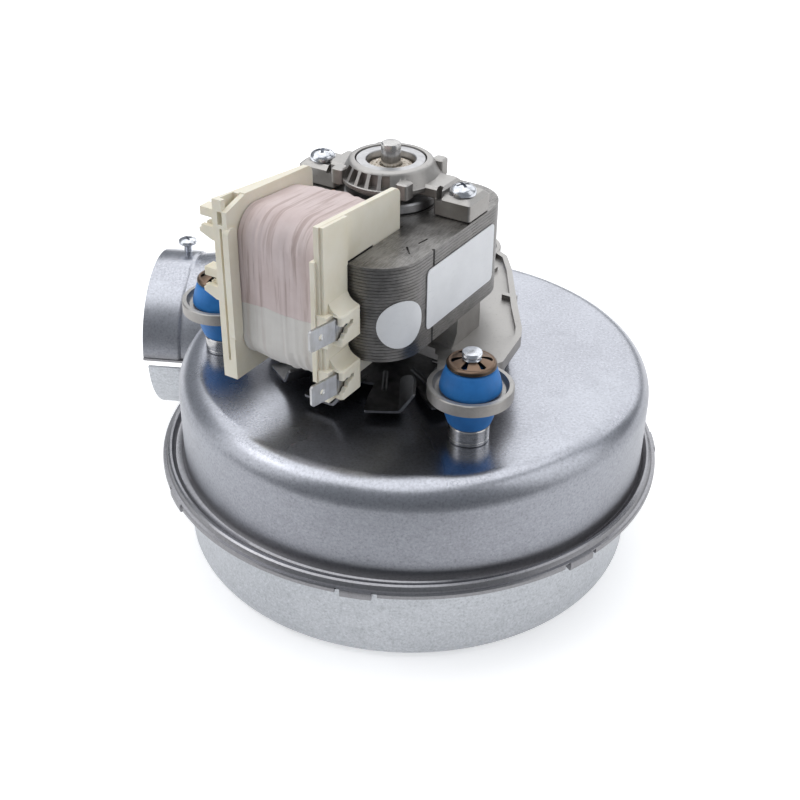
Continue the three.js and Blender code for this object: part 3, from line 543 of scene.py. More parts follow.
def lamination_top(name):
    """The top sheet, brushed across, with dust on a part of it."""
    s = Surface(name, metallic=0.92)
    brushed = s.noise(2.2, 5, 0.6, stretch=(1, 6, 1), turn=-MOTOR_TURN)
    clouds = s.noise(11, 5, 0.6, distortion=0.5)
    tone = s.ramp(s.maths("MULTIPLY", s.maths("ADD", clouds, brushed), 0.5),
                  (0.36, (0.13, 0.125, 0.12)), (0.62, (0.36, 0.35, 0.34)))
    dust = s.level(s.noise(0.8, 5, 0.8), 0.0, 1.0, 0.60, 0.66)
    patch = s.level(s.noise(16, 3, 0.5), 0.0, 1.0, 0.48, 0.62)
    tone = s.mixed(s.maths("MULTIPLY", s.maths("MULTIPLY", dust, patch), 0.8), tone, (0.42, 0.36, 0.28))
    return s.finish(tone, s.level(clouds, 0.24, 0.40), (brushed, 0.15, 0.05), (dust, 0.4, 0.15))


def ivory_plastic(name):
    s = Surface(name, specular=0.45)
    clouds = s.noise(13, 4, 0.55)
    tone = s.ramp(clouds, (0.3, (0.79, 0.73, 0.58)), (0.7, (0.88, 0.84, 0.73)))
    specks = s.level(s.noise(1.6, 4, 0.7), 1.0, 0.0, 0.25, 0.31)
    tone = s.mixed(s.maths("MULTIPLY", specks, 0.35), tone, (0.42, 0.36, 0.26))
    s.shader.inputs["Subsurface Weight"].default_value = 0.12
    s.shader.inputs["Subsurface Radius"].default_value = (0.004, 0.003, 0.002)
    s.shader.inputs["Subsurface Scale"].default_value = 0.4
    grain = s.noise(0.8, 3, 0.6)
    waves = s.noise(9, 2)
    return s.finish(tone, s.level(clouds, 0.34, 0.46), (grain, 0.06, 0.08), (waves, 0.1, 0.4))


def coil_tape(name):
    """Cloth tape, pink above its overlap and white below, with folds that run round the coil and painted shade in
    their creases.
    """
    s = Surface(name, specular=0.35)
    clouds = s.noise(11, 4, 0.55)
    pink = s.ramp(clouds, (0.3, (0.60, 0.49, 0.475)), (0.7, (0.70, 0.60, 0.59)))
    white = s.ramp(clouds, (0.3, (0.62, 0.60, 0.57)), (0.7, (0.72, 0.70, 0.67)))
    edge = s.maths("ADD", s.height(), s.level(s.noise(24, 2), -0.0008, 0.0008))
    overlap = s.level(edge, 0.0, 1.0, TAPE_OVERLAP_Z * MM, (TAPE_OVERLAP_Z + 0.3) * MM)
    tone = s.mixed(overlap, white, pink)
    folds = s.noise(1.5, 4, 0.6, stretch=(0.05, 1, 0.05), turn=-MOTOR_TURN)
    # Painted shade: the creases of the folds are darkened, more strongly above the overlap.
    crease = s.level(folds, 1.0, 0.0, 0.37, 0.47)
    painted_fold_shade = s.mixed(overlap, (0.58, 0.50, 0.47), (0.34, 0.245, 0.22))
    tone = s.mixed(s.maths("MULTIPLY", crease, s.level(overlap, 0.30, 0.50, 0.0, 1.0)), tone, painted_fold_shade)
    threads = s.noise(0.55, 2, 0.5, stretch=(1, 0.25, 1), turn=-MOTOR_TURN)
    bumps = ((threads, 0.30, 0.08), (folds, 0.45, 0.3), (overlap, 0.5, 0.2))
    return s.finish(tone, s.level(clouds, 0.52, 0.68), *bumps)


def blue_rubber(name):
    s = Surface(name, specular=0.4)
    clouds = s.noise(6, 4, 0.6)
    tone = s.ramp(clouds, (0.3, (0.017, 0.155, 0.46)), (0.7, (0.028, 0.215, 0.60)))
    dust = s.level(s.noise(1.2, 5, 0.75), 0.0, 0.25, 0.60, 0.72)
    tone = s.mixed(s.maths("MULTIPLY", dust, 0.4), tone, (0.30, 0.42, 0.60))
    return s.finish(tone, s.level(clouds, 0.46, 0.60), (s.noise(0.7, 3, 0.6), 0.12, 0.08))


def spring_bronze(name):
    s = Surface(name, metallic=1.0)
    clouds = s.noise(3.2, 5, 0.6, distortion=0.4)
    dark = s.ramp(clouds, (0.3, (0.045, 0.036, 0.030)), (0.7, (0.10, 0.078, 0.062)))
    # Painted light: faces that look up are mixed from the dark bronze towards a lighter bronze.
    tone = s.mixed(s.facing_up(), dark, (0.21, 0.145, 0.105))
    return s.finish(tone, s.level(clouds, 0.26, 0.42), (s.noise(0.8, 3), 0.15, 0.05))


def blank_label(name):
    s = Surface(name, specular=0.45)
    clouds = s.noise(12, 4, 0.6)
    tone = s.ramp(clouds, (0.3, (0.80, 0.81, 0.83)), (0.7, (0.90, 0.91, 0.93)))
    scuffs = s.level(s.noise(3, 6, 0.75, stretch=(1, 1, 3)), 0.0, 0.4, 0.58, 0.75)
    tone = s.mixed(scuffs, tone, (0.52, 0.53, 0.55))
    return s.finish(tone, s.level(clouds, 0.30, 0.45), (s.noise(1.1, 3), 0.08, 0.06))


def oily_felt(name):
    s = Surface(name, specular=0.2)
    fibres = s.noise(0.8, 5, 0.8)
    oil, stained, clean = (0.09, 0.065, 0.045), (0.60, 0.52, 0.42), (0.86, 0.83, 0.77)
    tone = s.ramp(fibres, (0.38, oil), (0.46, stained), (0.64, clean))
    return s.finish(tone, 0.9, (fibres, 0.7, 0.25))


def enamel_copper(name, light, dark):
    s = Surface(name, metallic=1.0)
    clouds = s.noise(3, 5, 0.6)
    turns = s.noise(0.7, 3, 0.6, stretch=(1, 1, 0.3))
    tone = s.ramp(clouds, (0.3, dark), (0.7, light))
    return s.finish(tone, s.level(clouds, 0.25, 0.42), (turns, 0.4, 0.2))


def pale_floor(name):
    s = Surface(name, specular=0.2)
    clouds = s.noise(400, 2, 0.4)
    tone = s.ramp(clouds, (0.3, (0.93, 0.935, 0.94)), (0.7, (0.96, 0.96, 0.965)))
    s.shader.inputs["Emission Color"].default_value = (1, 1, 1, 1)
    s.shader.inputs["Emission Strength"].default_value = 0.42
    return s.finish(tone, 0.75, (s.noise(3, 2), 0.02, 0.1))


GALVANISED_TOP = galvanised(
    "galvanised_top", (0.52, 0.535, 0.585), (0.44, 0.45, 0.495), 0.25, 0.36, 0.66, 0.5)
GALVANISED_PAN = galvanised("galvanised_pan", (0.52, 0.535, 0.56), (0.43, 0.445, 0.47), 0.32, 0.40, 1.0)
GALVANISED_WHEEL = galvanised("galvanised_wheel", (0.50, 0.51, 0.54), (0.40, 0.40, 0.42), 0.32, 0.40, 0.9)
CAST = cast_metal("die_cast")
ZINC = bright_metal("zinc_plate", (0.80, 0.82, 0.86), (0.46, 0.48, 0.52), 0.16, 0.30)
STEEL = bright_metal(
    "ground_steel", (0.56, 0.55, 0.54), (0.48, 0.47, 0.46), 0.20, 0.26, (1, 1, 0.06), 0.9, 0.008)
PRESSED = bright_metal("pressed_steel", (0.60, 0.60, 0.61), (0.44, 0.44, 0.45), 0.34, 0.46)
TURNED = bright_metal("turned_steel", (0.60, 0.60, 0.60), (0.34, 0.335, 0.33), 0.16, 0.28, (0.3, 0.3, 6))
ALUMINIUM = bright_metal("stamped_aluminium", (0.40, 0.405, 0.42), (0.24, 0.245, 0.255), 0.26, 0.42)
STAMPED = bright_metal("dark_stamping", (0.27, 0.27, 0.275), (0.16, 0.16, 0.165), 0.28, 0.42)
BRASS = bright_metal("tin_over_brass", (0.52, 0.53, 0.55), (0.36, 0.355, 0.35), 0.30, 0.44, (1, 1, 0.3))
SINTERED = bright_metal("sintered_bronze", (0.55, 0.40, 0.22), (0.28, 0.18, 0.09), 0.35, 0.55)
CORE_EDGE = lamination_edge("lamination_edge")
CORE_FACE = lamination_top("lamination_face")
IVORY = ivory_plastic("ivory_plastic")
TAPE = coil_tape("coil_tape_cloth")
BLUE = blue_rubber("blue_rubber")
BRONZE = spring_bronze("spring_bronze")
LABEL = blank_label("label_film")
FELT = oily_felt("oily_felt")
COPPER = enamel_copper("bare_copper", (0.66, 0.40, 0.22), (0.40, 0.22, 0.11))
WINDING = enamel_copper("enamelled_wire", (0.40, 0.16, 0.07), (0.20, 0.07, 0.03))


# ---- casing ----
def volute(radius, steps=150, scroll_steps=24):
    """The casing's outline: a circle that opens on its outlet side into a second, smaller circle."""
    scroll = radius - SCROLL_LESS
    away = math.degrees(math.atan2(SCROLL_CENTRE.y, SCROLL_CENTRE.x))
    meet = away - math.degrees(math.acos(SCROLL_LESS / SCROLL_CENTRE.length))
    near = 180 - math.degrees(math.asin((OUTLET_Y - OUTLET_R) / DOME_R)) - 360
    return arc(radius, near, meet, steps) + arc(scroll, meet, 125, scroll_steps, SCROLL_CENTRE)[1:]


def swept(profile):
    """A closed body that follows the casing's outline; its profile is a list of (radius, z, sideways shift)."""
    return loft([[(x + shift, y, z) for x, y in volute(radius)] for radius, z, shift in profile])


def edge_arc(radius, edge, z, shift, inside, steps=10, up=True):
    """The rounded edge between a wall of that radius and a flat face at z, listed inwards or outwards."""
    points = []
    for i in range(steps + 1):
        angle = math.pi / 2 * i / steps
        rise = edge * (1 - math.sin(angle))
        height = z - rise if up else z + rise
        points.append((radius - edge * (1 - math.cos(angle)), height, shift))
    return list(reversed(points)) if inside else points


def pipe(radius, x0, x1, sides=120):
    """A plain cylinder on the spigot's axis."""
    ring = [polar(radius, 360 * i / sides) for i in range(sides)]
    return loft([[(x, OUTLET_Y + a, OUTLET_Z + b) for a, b in ring] for x in (x0, x1)])


SLOT = box(OUTLET_END_X - 5, SLOT_END_X, 20, 110, SPLIT - SLOT_HEIGHT, SPLIT)
TUBE_BORE = pipe(OUTLET_R - SHEET, OUTLET_END_X - 5, BORE_END_X)


def ribbed_pipe(end_x):
    """The spigot: plain at its end, then a pressed crease where it starts to blend into the casing."""
    rows = [(end_x, 0), (end_x + 0.6, 0)]
    rows += [(CREASE_X + along, depth) for along, depth in
             ((-1.6, 0), (-0.7, 0.25), (0, 0.7), (0.9, 0.75), (3.5, 0.35), (9, 0))]
    rows += [(SHOULDER_END_X, 0)]
    sides = 160
    rings = []
    for x, depth in rows:
        radius = OUTLET_R - depth
        rings.append([(x, OUTLET_Y + radius * math.cos(2 * math.pi * i / sides),
                       OUTLET_Z + radius * math.sin(2 * math.pi * i / sides)) for i in range(sides)])
    return loft(rings)


def spigot_half(end_x, half_space, inside):
    """The spigot above or below the split, with the shoulder that closes its root beside the wall."""
    obj = to_object("spigot", ribbed_pipe(end_x))
    room = to_object("room", swept(inside))
    combine(room, "INTERSECT", box(SPIGOT_ROOT_X, 100, -120, 120, -10, 90))
    join(obj, room, "DIFFERENCE")
    combine(obj, "INTERSECT", half_space)
    return obj


def crimp(angle):
    """A tongue of the upper rim folded under the lower one."""
    profile = [(-1.8, -2.7), (-0.2, -2.9), (0.3, -2.6), (0.4, -2.1), (0.4, -0.7), (0.15, -0.1), (-1.2, 0.1)]
    steps = 8
    rings = []
    for i in range(steps + 1):
        place_on_rim = angle + CRIMP_HALF * (2 * i / steps - 1)
        rings.append([(*polar(FLANGE_R + out, place_on_rim), FLANGE_Z + rise) for out, rise in profile])
    return loft(rings)


def crimp_notch(angle, side):
    """The cut in the rim beside a crimp."""
    middle = angle + side * (CRIMP_HALF + 0.6)
    return spun(box(FLANGE_R - 3, FLANGE_R + 1, -0.85, 0.85, 27.9, 30.8), middle)


def build_upper_casing():
    """The dome, with a rolled rim round it, crimped under the pan's rim, and the spigot's upper half."""
    inner = DOME_R - SHEET
    foot = FLANGE_Z - SHEET
    rim = [(-1.1, -1.0, 0), (-1.1, -1.9, 0), (-0.5, -2.1, 0), (0, -1.7, 0), (0, -0.5, 0), (-0.3, 0, 0),
           (-1.2, 0.1, 0), (-1.5, 0.6, 0), (-1.8, 1.4, 0), (-2.4, 1.8, 0), (-3.1, 1.8, 0), (-3.8, 1.3, 0),
           (-4.4, 0.5, 0), (-5.0, 0.4, 0.4), (-5.5, 0.7, 0.9), (-5.95, 1.6, DOME_SHIFT)]
    profile = (
        edge_arc(inner, DOME_EDGE_R - SHEET, CASING_TOP - SHEET, DOME_SHIFT, True)
        + [(inner, foot, DOME_SHIFT)]
        + [(FLANGE_R + out, FLANGE_Z + rise, shift) for out, rise, shift in rim]
        + [(DOME_R, FLANGE_Z + 3, DOME_SHIFT)]
        + edge_arc(DOME_R, DOME_EDGE_R, CASING_TOP, DOME_SHIFT, False, 16)
    )
    obj = to_object("upper_casing_sheet", swept(profile))
    above = box(OUTLET_END_X - 5, SHOULDER_END_X, 10, 120, foot, 90)
    clear = inner - SHOULDER_LAP
    ceiling = CASING_TOP - SHEET - SHOULDER_LAP
    room = [(clear, 10, DOME_SHIFT)] + edge_arc(clear, DOME_EDGE_R - SHEET, ceiling, DOME_SHIFT, False)
    spigot = spigot_half(OUTLET_END_X, above, room)
    for side in (-1, 1):
        y = OUTLET_Y + side * (OUTLET_R - 0.1)
        added(spigot, box(OUTLET_END_X, SLOT_END_X, y - 0.45, y + 0.45, SPLIT - 0.1, SPLIT + 0.9))
    join(obj, spigot)
    cut(obj, TUBE_BORE, SLOT, rod(6.2, 50, 70, *SHAFT_IN_CASING, 48))
    notches = [crimp_notch(angle, side) for angle in CRIMP_ANGLES for side in (-1, 1)]
    join(obj, to_object("notches", *notches), "DIFFERENCE")
    tabs = to_object("crimps", *[crimp(angle) for angle in CRIMP_ANGLES])
    place(tabs, CASING, GALVANISED_TOP, "housing", [])
    return place(obj, CASING, GALVANISED_TOP, "housing", ["upper_casing"], 28)


def build_lower_casing():
    """The pan, with the spigot's lower half, the inlet mouth underneath and a joint line at the front."""
    inner = PAN_R - SHEET
    top = LOWER_RIM_TOP
    rim_r = FLANGE_R - 1.3
    floor = PAN_BOTTOM + SHEET
    profile = (
        edge_arc(inner, PAN_EDGE_R - SHEET, floor, 0, True, 8, False)
        + [(inner, top, 0), (rim_r - 0.2, top, 0), (rim_r, top - 0.2, 0), (rim_r, top - 0.8, 0),
           (rim_r - 0.2, top - 1, 0), (PAN_R + 1.2, top - 1, 0), (PAN_R + 0.3, top - 1.3, 0),
           (PAN_R, top - 2.2, 0)]
        + edge_arc(PAN_R, PAN_EDGE_R, PAN_BOTTOM, 0, False, 12, False)
    )
    obj = to_object("lower_casing_sheet", swept(profile))
    below = box(OUTLET_END_X - 5, SHOULDER_END_X, 10, 120, -10, top)
    clear = inner - SHOULDER_LAP
    room = [(clear, 50, 0)] + edge_arc(clear, PAN_EDGE_R - SHEET, floor + SHOULDER_LAP, 0, False, 8, False)
    join(obj, spigot_half(OUTLET_END_X + 1.5, below, room))
    cut(obj, TUBE_BORE, SLOT, rod(INLET_R + 3, -10, 4, *SHAFT_IN_CASING, 96))
    for angle in FIXING_HOLES:
        cut(obj, rod(1.9, -10, 4, *polar(FIXING_CIRCLE_R, angle, SHAFT_IN_CASING), 24))
    mouth = to_object("inlet_mouth", turned([(INLET_R + out, PAN_BOTTOM + rise) for out, rise in (
        (4, 0.02), (4, SHEET), (2.4, 1.5), (1.5, 2.5), (1.1, 3.8), (1, 7), (1, 11.5), (0, 11.5), (0, 7), (0, 3.4),
        (0.5, 1.9), (1.4, 0.7), (2.6, 0.05))], 96, *SHAFT_IN_CASING))
    place(mouth, CASING, GALVANISED_PAN, "housing", [])
    section = [(PAN_R + out, SEAM_ANGLE + turn) for out, turn in
               ((-0.4, -0.25), (0.12, -0.2), (0.12, 0.2), (-0.4, 0.25))]
    heights = (PAN_BOTTOM + PAN_EDGE_R, 8, 14, 20, top - 2.3)
    seam = to_object("pan_seam", loft([[(*polar(r, angle), z) for r, angle in section] for z in heights]))
    place(seam, CASING, GALVANISED_PAN, "housing", [])
    return place(obj, CASING, GALVANISED_PAN, "housing", ["lower_casing"], 28)


def cross_recess(size, z0, z1, x, y, turn):
    """The two bars of a cross-head recess."""
    arms = []
    for angle in (turn, turn + 90):
        arms.append(shifted(spun(box(-size, size, -size * 0.22, size * 0.22, z0, z1), angle), x, y))
    return arms


def build_spigot_screw():
    x = OUTLET_END_X + 9.7
    y = OUTLET_Y + 6.6
    crest = OUTLET_Z + math.sqrt(OUTLET_R ** 2 - (y - OUTLET_Y) ** 2)
    profile = [(0, -4), (0.7, -3.8), (1.3, -3), (1.35, 3.5), (1.5, 3.75), (3.5, 4.0), (3.65, 4.2), (3.62, 4.6),
               (3.3, 5.2), (2.5, 5.65), (1.3, 5.85), (0, 5.9)]
    obj = to_object("spigot_screw_fine", turned(raised(profile, crest), 48, x, y))
    cut(obj, *cross_recess(1.9, crest + 4.9, crest + 7, x, y, 35))
    pitch = 0.6
    threads = to_object("spigot_screw_thread", *[
        turned(raised([(1.25, 0), (1.55, 0.15), (1.25, 0.3)], z), 24, x, y)
        for z in [crest - 2.8 + pitch * i for i in range(10)]])
    place(threads, CASING, ZINC, "housing", [])
    return place(obj, CASING, ZINC, "housing", ["spigot_screw"])


# ---- isolators ----
def stud_places():
    return [polar(STUD_CIRCLE_R, degrees, STUD_CENTRE) for degrees in STUD_ANGLES]


def build_isolator(number, x, y):
    inner = CASING_TOP - SHEET - 0.3
    foot = CASING_TOP + 0.12
    floor_top = RING_FLOOR + RING_FLOOR_T
    top = GROMMET_TOP
    stud = to_object(f"stud_fine_{number}", turned([
        (0, inner - 1.8), (4.3, inner - 1.8), (4.5, inner - 1.5), (4.5, inner), (2, inner), (2, top + 2.6),
        (2.2, top + 2.95), (2.75, top + 3.2), (2.95, top + 3.4), (2.95, top + 4.35), (2.8, top + 4.65),
        (2.4, top + 4.85), (0, top + 4.95)], 48, x, y))
    place(stud, MOTOR, ZINC, "housing", [f"stud_{number}"])
    spacer = to_object(f"spacer_fine_{number}", turned([
        (2.3, foot), (5.95, foot), (6.15, foot + 0.2), (6.15, foot + 1.1), (6.02, foot + 1.2),
        (6.15, foot + 1.3), (6.15, SPACER_TOP - 0.3), (5.9, SPACER_TOP), (2.3, SPACER_TOP)], 64, x, y))
    place(spacer, MOTOR, TURNED, "housing", [f"spacer_{number}"])
    grommet = to_object(f"grommet_fine_{number}", turned([
        (2.3, SPACER_TOP + 0.1), (5.5, SPACER_TOP + 0.1), (6.1, SPACER_TOP + 0.3), (6.6, SPACER_TOP + 0.9),
        (7.3, SPACER_TOP + 3.0), (8.1, RING_FLOOR - 2.0), (8.3, RING_FLOOR - 1.1), (8.1, RING_FLOOR - 0.4),
        (7.6, RING_FLOOR - 0.1), (6.2, RING_FLOOR - 0.1), (6.2, floor_top + 0.1), (8.5, floor_top + 0.1),
        (9.0, floor_top + 0.35), (9.2, floor_top + 0.9), (9.15, floor_top + 1.6), (8.5, floor_top + 4.2),
        (7.6, top - 0.9), (7.2, top - 0.35), (6.7, top), (2.3, top)], 72, x, y))
    place(grommet, MOTOR, BLUE, "housing", [f"grommet_{number}"], 50)
    clip = to_object(f"clip_fine_{number}", turned([
        (2.3, top + 1.25), (4.2, top + 1.15), (5.6, top + 0.85), (6.5, top + 0.2), (7.1, top + 0.1),
        (7.35, top + 0.35), (7.35, top + 0.9), (7.1, top + 1.35), (6.6, top + 1.65), (6.2, top + 1.6),
        (5.7, top + 1.75), (4.6, top + 2.2), (3.4, top + 2.45), (2.3, top + 2.5)], 72, x, y))
    slots = []
    for i in range(CLIP_SLOTS):
        wedge = prism([(2.6, -0.35), (5.7, -0.95), (6.1, 0), (5.7, 0.95), (2.6, 0.35)], top - 1, top + 5)
        slots.append(shifted(spun(wedge, 360 / CLIP_SLOTS * i + 5), x, y))
    cut(clip, *slots)
    place(clip, MOTOR, BRONZE, "housing", [f"clip_{number}"])
    collar = to_object(f"clip_collar_{number}", turned([
        (2.05, top + 2.1), (2.75, top + 2.15), (2.85, top + 2.4), (2.7, top + 2.62), (2.05, top + 2.62)], 40, x, y))
    place(collar, MOTOR, ZINC, "housing", [])


# ---- lower bracket ----
def bracket_outline(inset=0.0):
    """The die-cast tray's outline, or the same pulled in by the rim's thickness."""
    half = [(57, 8.2), (52.6, 17), (44.3, 23.2), (21, 37.5), (9.3, 45), (4.8, 47), (-12, 49.5), (-34, 39),
            (-16.6, 30), (-14.8, 12)]
    middle = Vector((2.6, 2.2))
    whole = [(x, middle.y - y) for x, y in half] + [(x, middle.y + y) for x, y in reversed(half)]
    pulled = []
    for point in whole:
        away = Vector(point) - middle
        pulled.append(tuple(middle + away * (1 - inset / away.length)))
    return pulled


def pillar(side):
    """The block under a motor screw, flared towards its foot on the coil side."""
    inner, outer = sorted((side * PILLAR_IN, side * PILLAR_OUT))
    floor = RING_FLOOR + 0.5
    rings = []
    for z, flare in ((floor, 7.5), (floor + 2.5, 4.4), (floor + 5.5, 2.4), (CORE_BOTTOM - 0.15, 2.0)):
        rings.append([(-6 - flare, inner, z), (6, inner, z), (6, outer, z), (-6 - flare, outer, z)])
    return loft(rings)


def build_lower_bracket():
    floor_top = RING_FLOOR + RING_FLOOR_T
    obj = to_object("lower_bracket_cast", prism(bracket_outline(), RING_FLOOR, RIM_TOP))
    cut(obj, prism(bracket_outline(2.1), floor_top, RIM_TOP + 5))
    for x, y in stud_places():
        cut(obj, rod(RING_R - 0.1, 70, 100, x, y, 64))
        added(obj, turned([
            (6.5, RING_FLOOR), (RING_R - 0.5, RING_FLOOR - 0.3), (RING_R, RING_FLOOR), (RING_R, RIM_TOP - 0.3),
            (RING_R - 0.3, RIM_TOP), (RING_R - 1.5, RIM_TOP), (RING_R - 1.9, floor_top + 0.5),
            (RING_R - 2.4, floor_top), (6.5, floor_top)], 72, x, y))
    for side in (-1, 1):
        added(obj, pillar(side))
        added(obj, box(18, 44, side * 15 - 0.8, side * 15 + 0.8, floor_top - 0.5, RIM_TOP - 0.4))
        hook = 2.2 + side * 31.4
        added(obj, box(26, 28, hook - 2.4, hook + 2.4, floor_top - 0.5, RIM_TOP))
    cut(obj, rod(13, 70, 100, sides=64))
    added(obj, turned([(4, RING_FLOOR), (13.6, RING_FLOOR), (14, RING_FLOOR + 0.5), (13.4, 85.8), (9.7, 85.8),
                       (9.7, 80.8), (4, 80.8)], 64))
    softened(obj, 0.42, 2, 35)
    return place(obj, MOTOR, CAST, "housing", ["lower_bracket"], 38)


# ---- bearings ----
def build_bearing(name, node, z0, z1):
    middle = (z0 + z1) / 2
    profile = [(SHAFT_R + 0.06, z0 + 0.1), (3.4, z0), (5.1, z0), (5.6, z0 + 0.2)]
    profile += [(7.0 - 1.3 * (2 * (z - middle) / (z1 - z0)) ** 2, z) for z in
                [z0 + 0.5 + (z1 - z0 - 1) * i / 8 for i in range(9)]]
    profile += [(5.6, z1 - 0.2), (5.1, z1), (3.4, z1), (SHAFT_R + 0.06, z1 - 0.1)]
    return place(to_object(name, turned(profile, 56)), MOTOR, SINTERED, "housing", [node])


def build_retainer(name, node, z0, z1, outer):
    profile = [(7.3, z0), (outer, z0), (outer, z1 - 0.25), (outer - 0.25, z1), (7.85, z1), (7.6, z1 - 0.2),
               (7.45, z1 - 0.9)]
    return place(to_object(name, turned(profile, 96)), MOTOR, PRESSED, "housing", [node])


def build_felt():
    z = 130.6
    profile = [(SHAFT_R + 0.35, z - 0.7), (6.6, z - 0.7), (6.6, z - 0.6), (5.7, z - 0.35), (5.2, z), (4.2, z + 0.04),
               (SHAFT_R + 0.6, z - 0.1)]
    return place(to_object("oil_felt_fine", turned(profile, 56)), MOTOR, FELT, "housing", ["oil_felt"])


# ---- upper bracket ----
def chamfered_block(x0, x1, y0, y1, z0, z1, top=1.6, bottom=0.5):
    rings = []
    for z, inset in ((z0, bottom), (z0 + bottom, 0), (z1 - top, 0), (z1, top)):
        outline = rounded_outline(x0 + inset, x1 - inset, y0 + inset, y1 - inset, 0.9, 3)
        rings.append([(*p, z) for p in outline])
    return loft(rings)


def build_upper_bracket():
    ledge = BOSS_BOTTOM + 1.8
    obj = to_object("upper_bracket_cast", turned([
        (0, CUP_BOTTOM), (12.2, CUP_BOTTOM), (12.6, CUP_BOTTOM + 0.4), (12.8, BOSS_BOTTOM), (14.8, BOSS_BOTTOM),
        (15.3, BOSS_BOTTOM + 0.5), (15.4, ledge - 0.3), (15.1, ledge), (13.1, BOSS_TOP - 1.0),
        (12.8, BOSS_TOP - 0.4), (12.2, BOSS_TOP), (0, BOSS_TOP)], 120))
    levels = (12.3, 1.2, ledge - 0.05), (12.1, 1.2, BOSS_TOP - 2.0), (12.5, 1.05, BOSS_TOP - 0.9)
    for first in (BOSS_GROOVE_FIRST, BOSS_GROOVE_FIRST + 180):
        for i in range(BOSS_GROOVES):
            groove = loft([[(r, -w, z), (17, -w - 0.2, z), (17, w + 0.2, z), (r, w, z)] for r, w, z in levels])
            cut(obj, spun(groove, first - BOSS_GROOVE_PITCH * i))
    for side in (-1, 1):
        y0, y1 = (17.5, 31.2) if side > 0 else (-29.9, -17.5)
        added(obj, chamfered_block(-4.5, 8.0, y0, y1, CORE_TOP + 0.1, FOOT_TOP, 1.4, 0.4))
        y0, y1 = sorted((side * 9.0, side * 20.5))
        added(obj, chamfered_block(-4.4, 7.0, y0, y1, CUP_BOTTOM + 0.6, 128.4, 0.8, 0.4))
        y0, y1 = sorted((side * 9.3, side * 13.3))
        added(obj, chamfered_block(-12.7, -8.5, y0, y1, BOSS_BOTTOM - 0.4, 130.6, 0.4, 0.3))
        y0, y1 = sorted((side * 8.5, side * 12.5))
        added(obj, chamfered_block(9, 13.1, y0, y1, BOSS_BOTTOM - 0.4, 131.0, 0.4, 0.3))
        across = side * SCREW_Y - side * 5.4
        cut(obj, loft([[(-5.0, across - 0.9, z), (-2.6, across - 0.3, z), (-2.3, across + 1.0, z),
                        (-5.0, across + 1.0, z)] for z in (124.4, 131)]))
        cut(obj, rod(2.3, 110, 140, 0, side * SCREW_Y, 32))
    cut(obj, rod(10.9, CUP_BOTTOM + 1, 140, sides=96), rod(4.2, 110, 140, sides=48))
    softened(obj, 0.26, 2, 35)
    return place(obj, MOTOR, CAST, "housing", ["upper_bracket"], 38)


def build_motor_screw(name, side, turn):
    z = FOOT_TOP + 0.12
    obj = to_object(f"{name}_fine", turned([
        (0, 82.2), (1.5, 82.4), (1.5, CORE_BOTTOM + 0.2), (1.9, CORE_BOTTOM + 0.6), (1.9, z), (3.7, z), (4.0, z + 0.3),
        (4.02, z + 1.0), (3.8, z + 1.7), (3.2, z + 2.3), (2.2, z + 2.75), (1.0, z + 2.95), (0, z + 3.0)],
        56, 0, side * SCREW_Y))
    cut(obj, *cross_recess(2.1, z + 1.6, z + 4, 0, side * SCREW_Y, turn))
    return place(obj, MOTOR, ZINC, "housing", [name])


# ---- stator ----
def core_outline(inset=0.0):
    """The lamination's outline, with the window for the coil open to the front."""
    left, right, back = 10.6, 13.4, 13.5
    window_low = COIL_Y - 16.4
    window_high = COIL_Y + 16.4
    half = CORE_HALF - inset
    front = LEG_FRONT + inset
    rear = CORE_BACK - inset
    notch = [(-25.2, -half), (-24.9, -half + 0.7), (-24.4, -half + 0.7), (-24.1, -half)]
    outline = [(COIL_BACK + 1.2, window_high + inset)]
    outline += [(front, window_high + inset)]
    outline += arc(left - inset, 180, 90, 14, (LEG_FRONT + left, CORE_HALF - left))
    outline += arc(back - inset, 90, 0, 14, (CORE_BACK - back, CORE_HALF - back))
    outline += arc(back - inset, 0, -90, 14, (CORE_BACK - back, -CORE_HALF + back))
    outline += list(reversed(notch))
    outline += arc(right - inset, -90, -180, 20, (LEG_FRONT + right, -CORE_HALF + right))
    outline += [(front, window_low - inset), (COIL_BACK + 1.2, window_low - inset)]
    return outline


def laminated(outlines, z0, z1, sheets):
    """A stack of sheets: each has a crisp edge and a hairline gap to the next."""
    wide, narrow = outlines
    pitch = (z1 - z0) / sheets
    gap = 0.16
    rings = []
    for i in range(sheets):
        low = z0 + pitch * i
        for outline, z in ((narrow, low), (wide, low + gap / 2), (wide, low + pitch - gap / 2)):
            rings.append([(*p, z) for p in outline])
    rings.append([(*p, z1) for p in narrow])
    return loft(rings)


def build_core():
    shape = laminated((core_outline(), core_outline(0.18)), CORE_BOTTOM, CORE_TOP, 30)
    obj = to_object("stator_core_stack", shape)
    cut(obj, rod(BORE_R, 80, 130, sides=72))
    for turn in (118, 144, -62, -36):
        cut(obj, rod(1.5, 80, 130, *polar(17.6, turn), 20))
    slits = (-29, -24, 4.6, 40), (-21.5, -24.5, 4.2, -8), (-30, 24.5, 4.2, -30), (15, -19, 4, 40)
    for x, y, length, angle in slits:
        slit = shifted(spun(box(-length / 2, length / 2, -0.28, 0.28, CORE_TOP - 0.7, CORE_TOP + 1), angle), x, y)
        cut(obj, slit)
    place(obj, MOTOR, CORE_EDGE, "housing", ["stator_core"], 25)
    obj.data.materials.append(CORE_FACE)
    for polygon in obj.data.polygons:
        if abs(polygon.normal.z) > 0.9 and polygon.area > 5e-6:
            polygon.material_index = 1
    bar_low = COIL_Y - 16.1
    bar_high = COIL_Y + 16.1
    bar = [[(LEG_FRONT - 1 + i, bar_low), (BAR_BACK - i, bar_low), (BAR_BACK - i, bar_high),
            (LEG_FRONT - 1 + i, bar_high)] for i in (0, 0.18)]
    stack = to_object("coil_bar_stack", laminated(bar, CORE_BOTTOM, CORE_TOP, 30))
    return place(stack, MOTOR, CORE_EDGE, "housing", ["coil_bar"], 25)


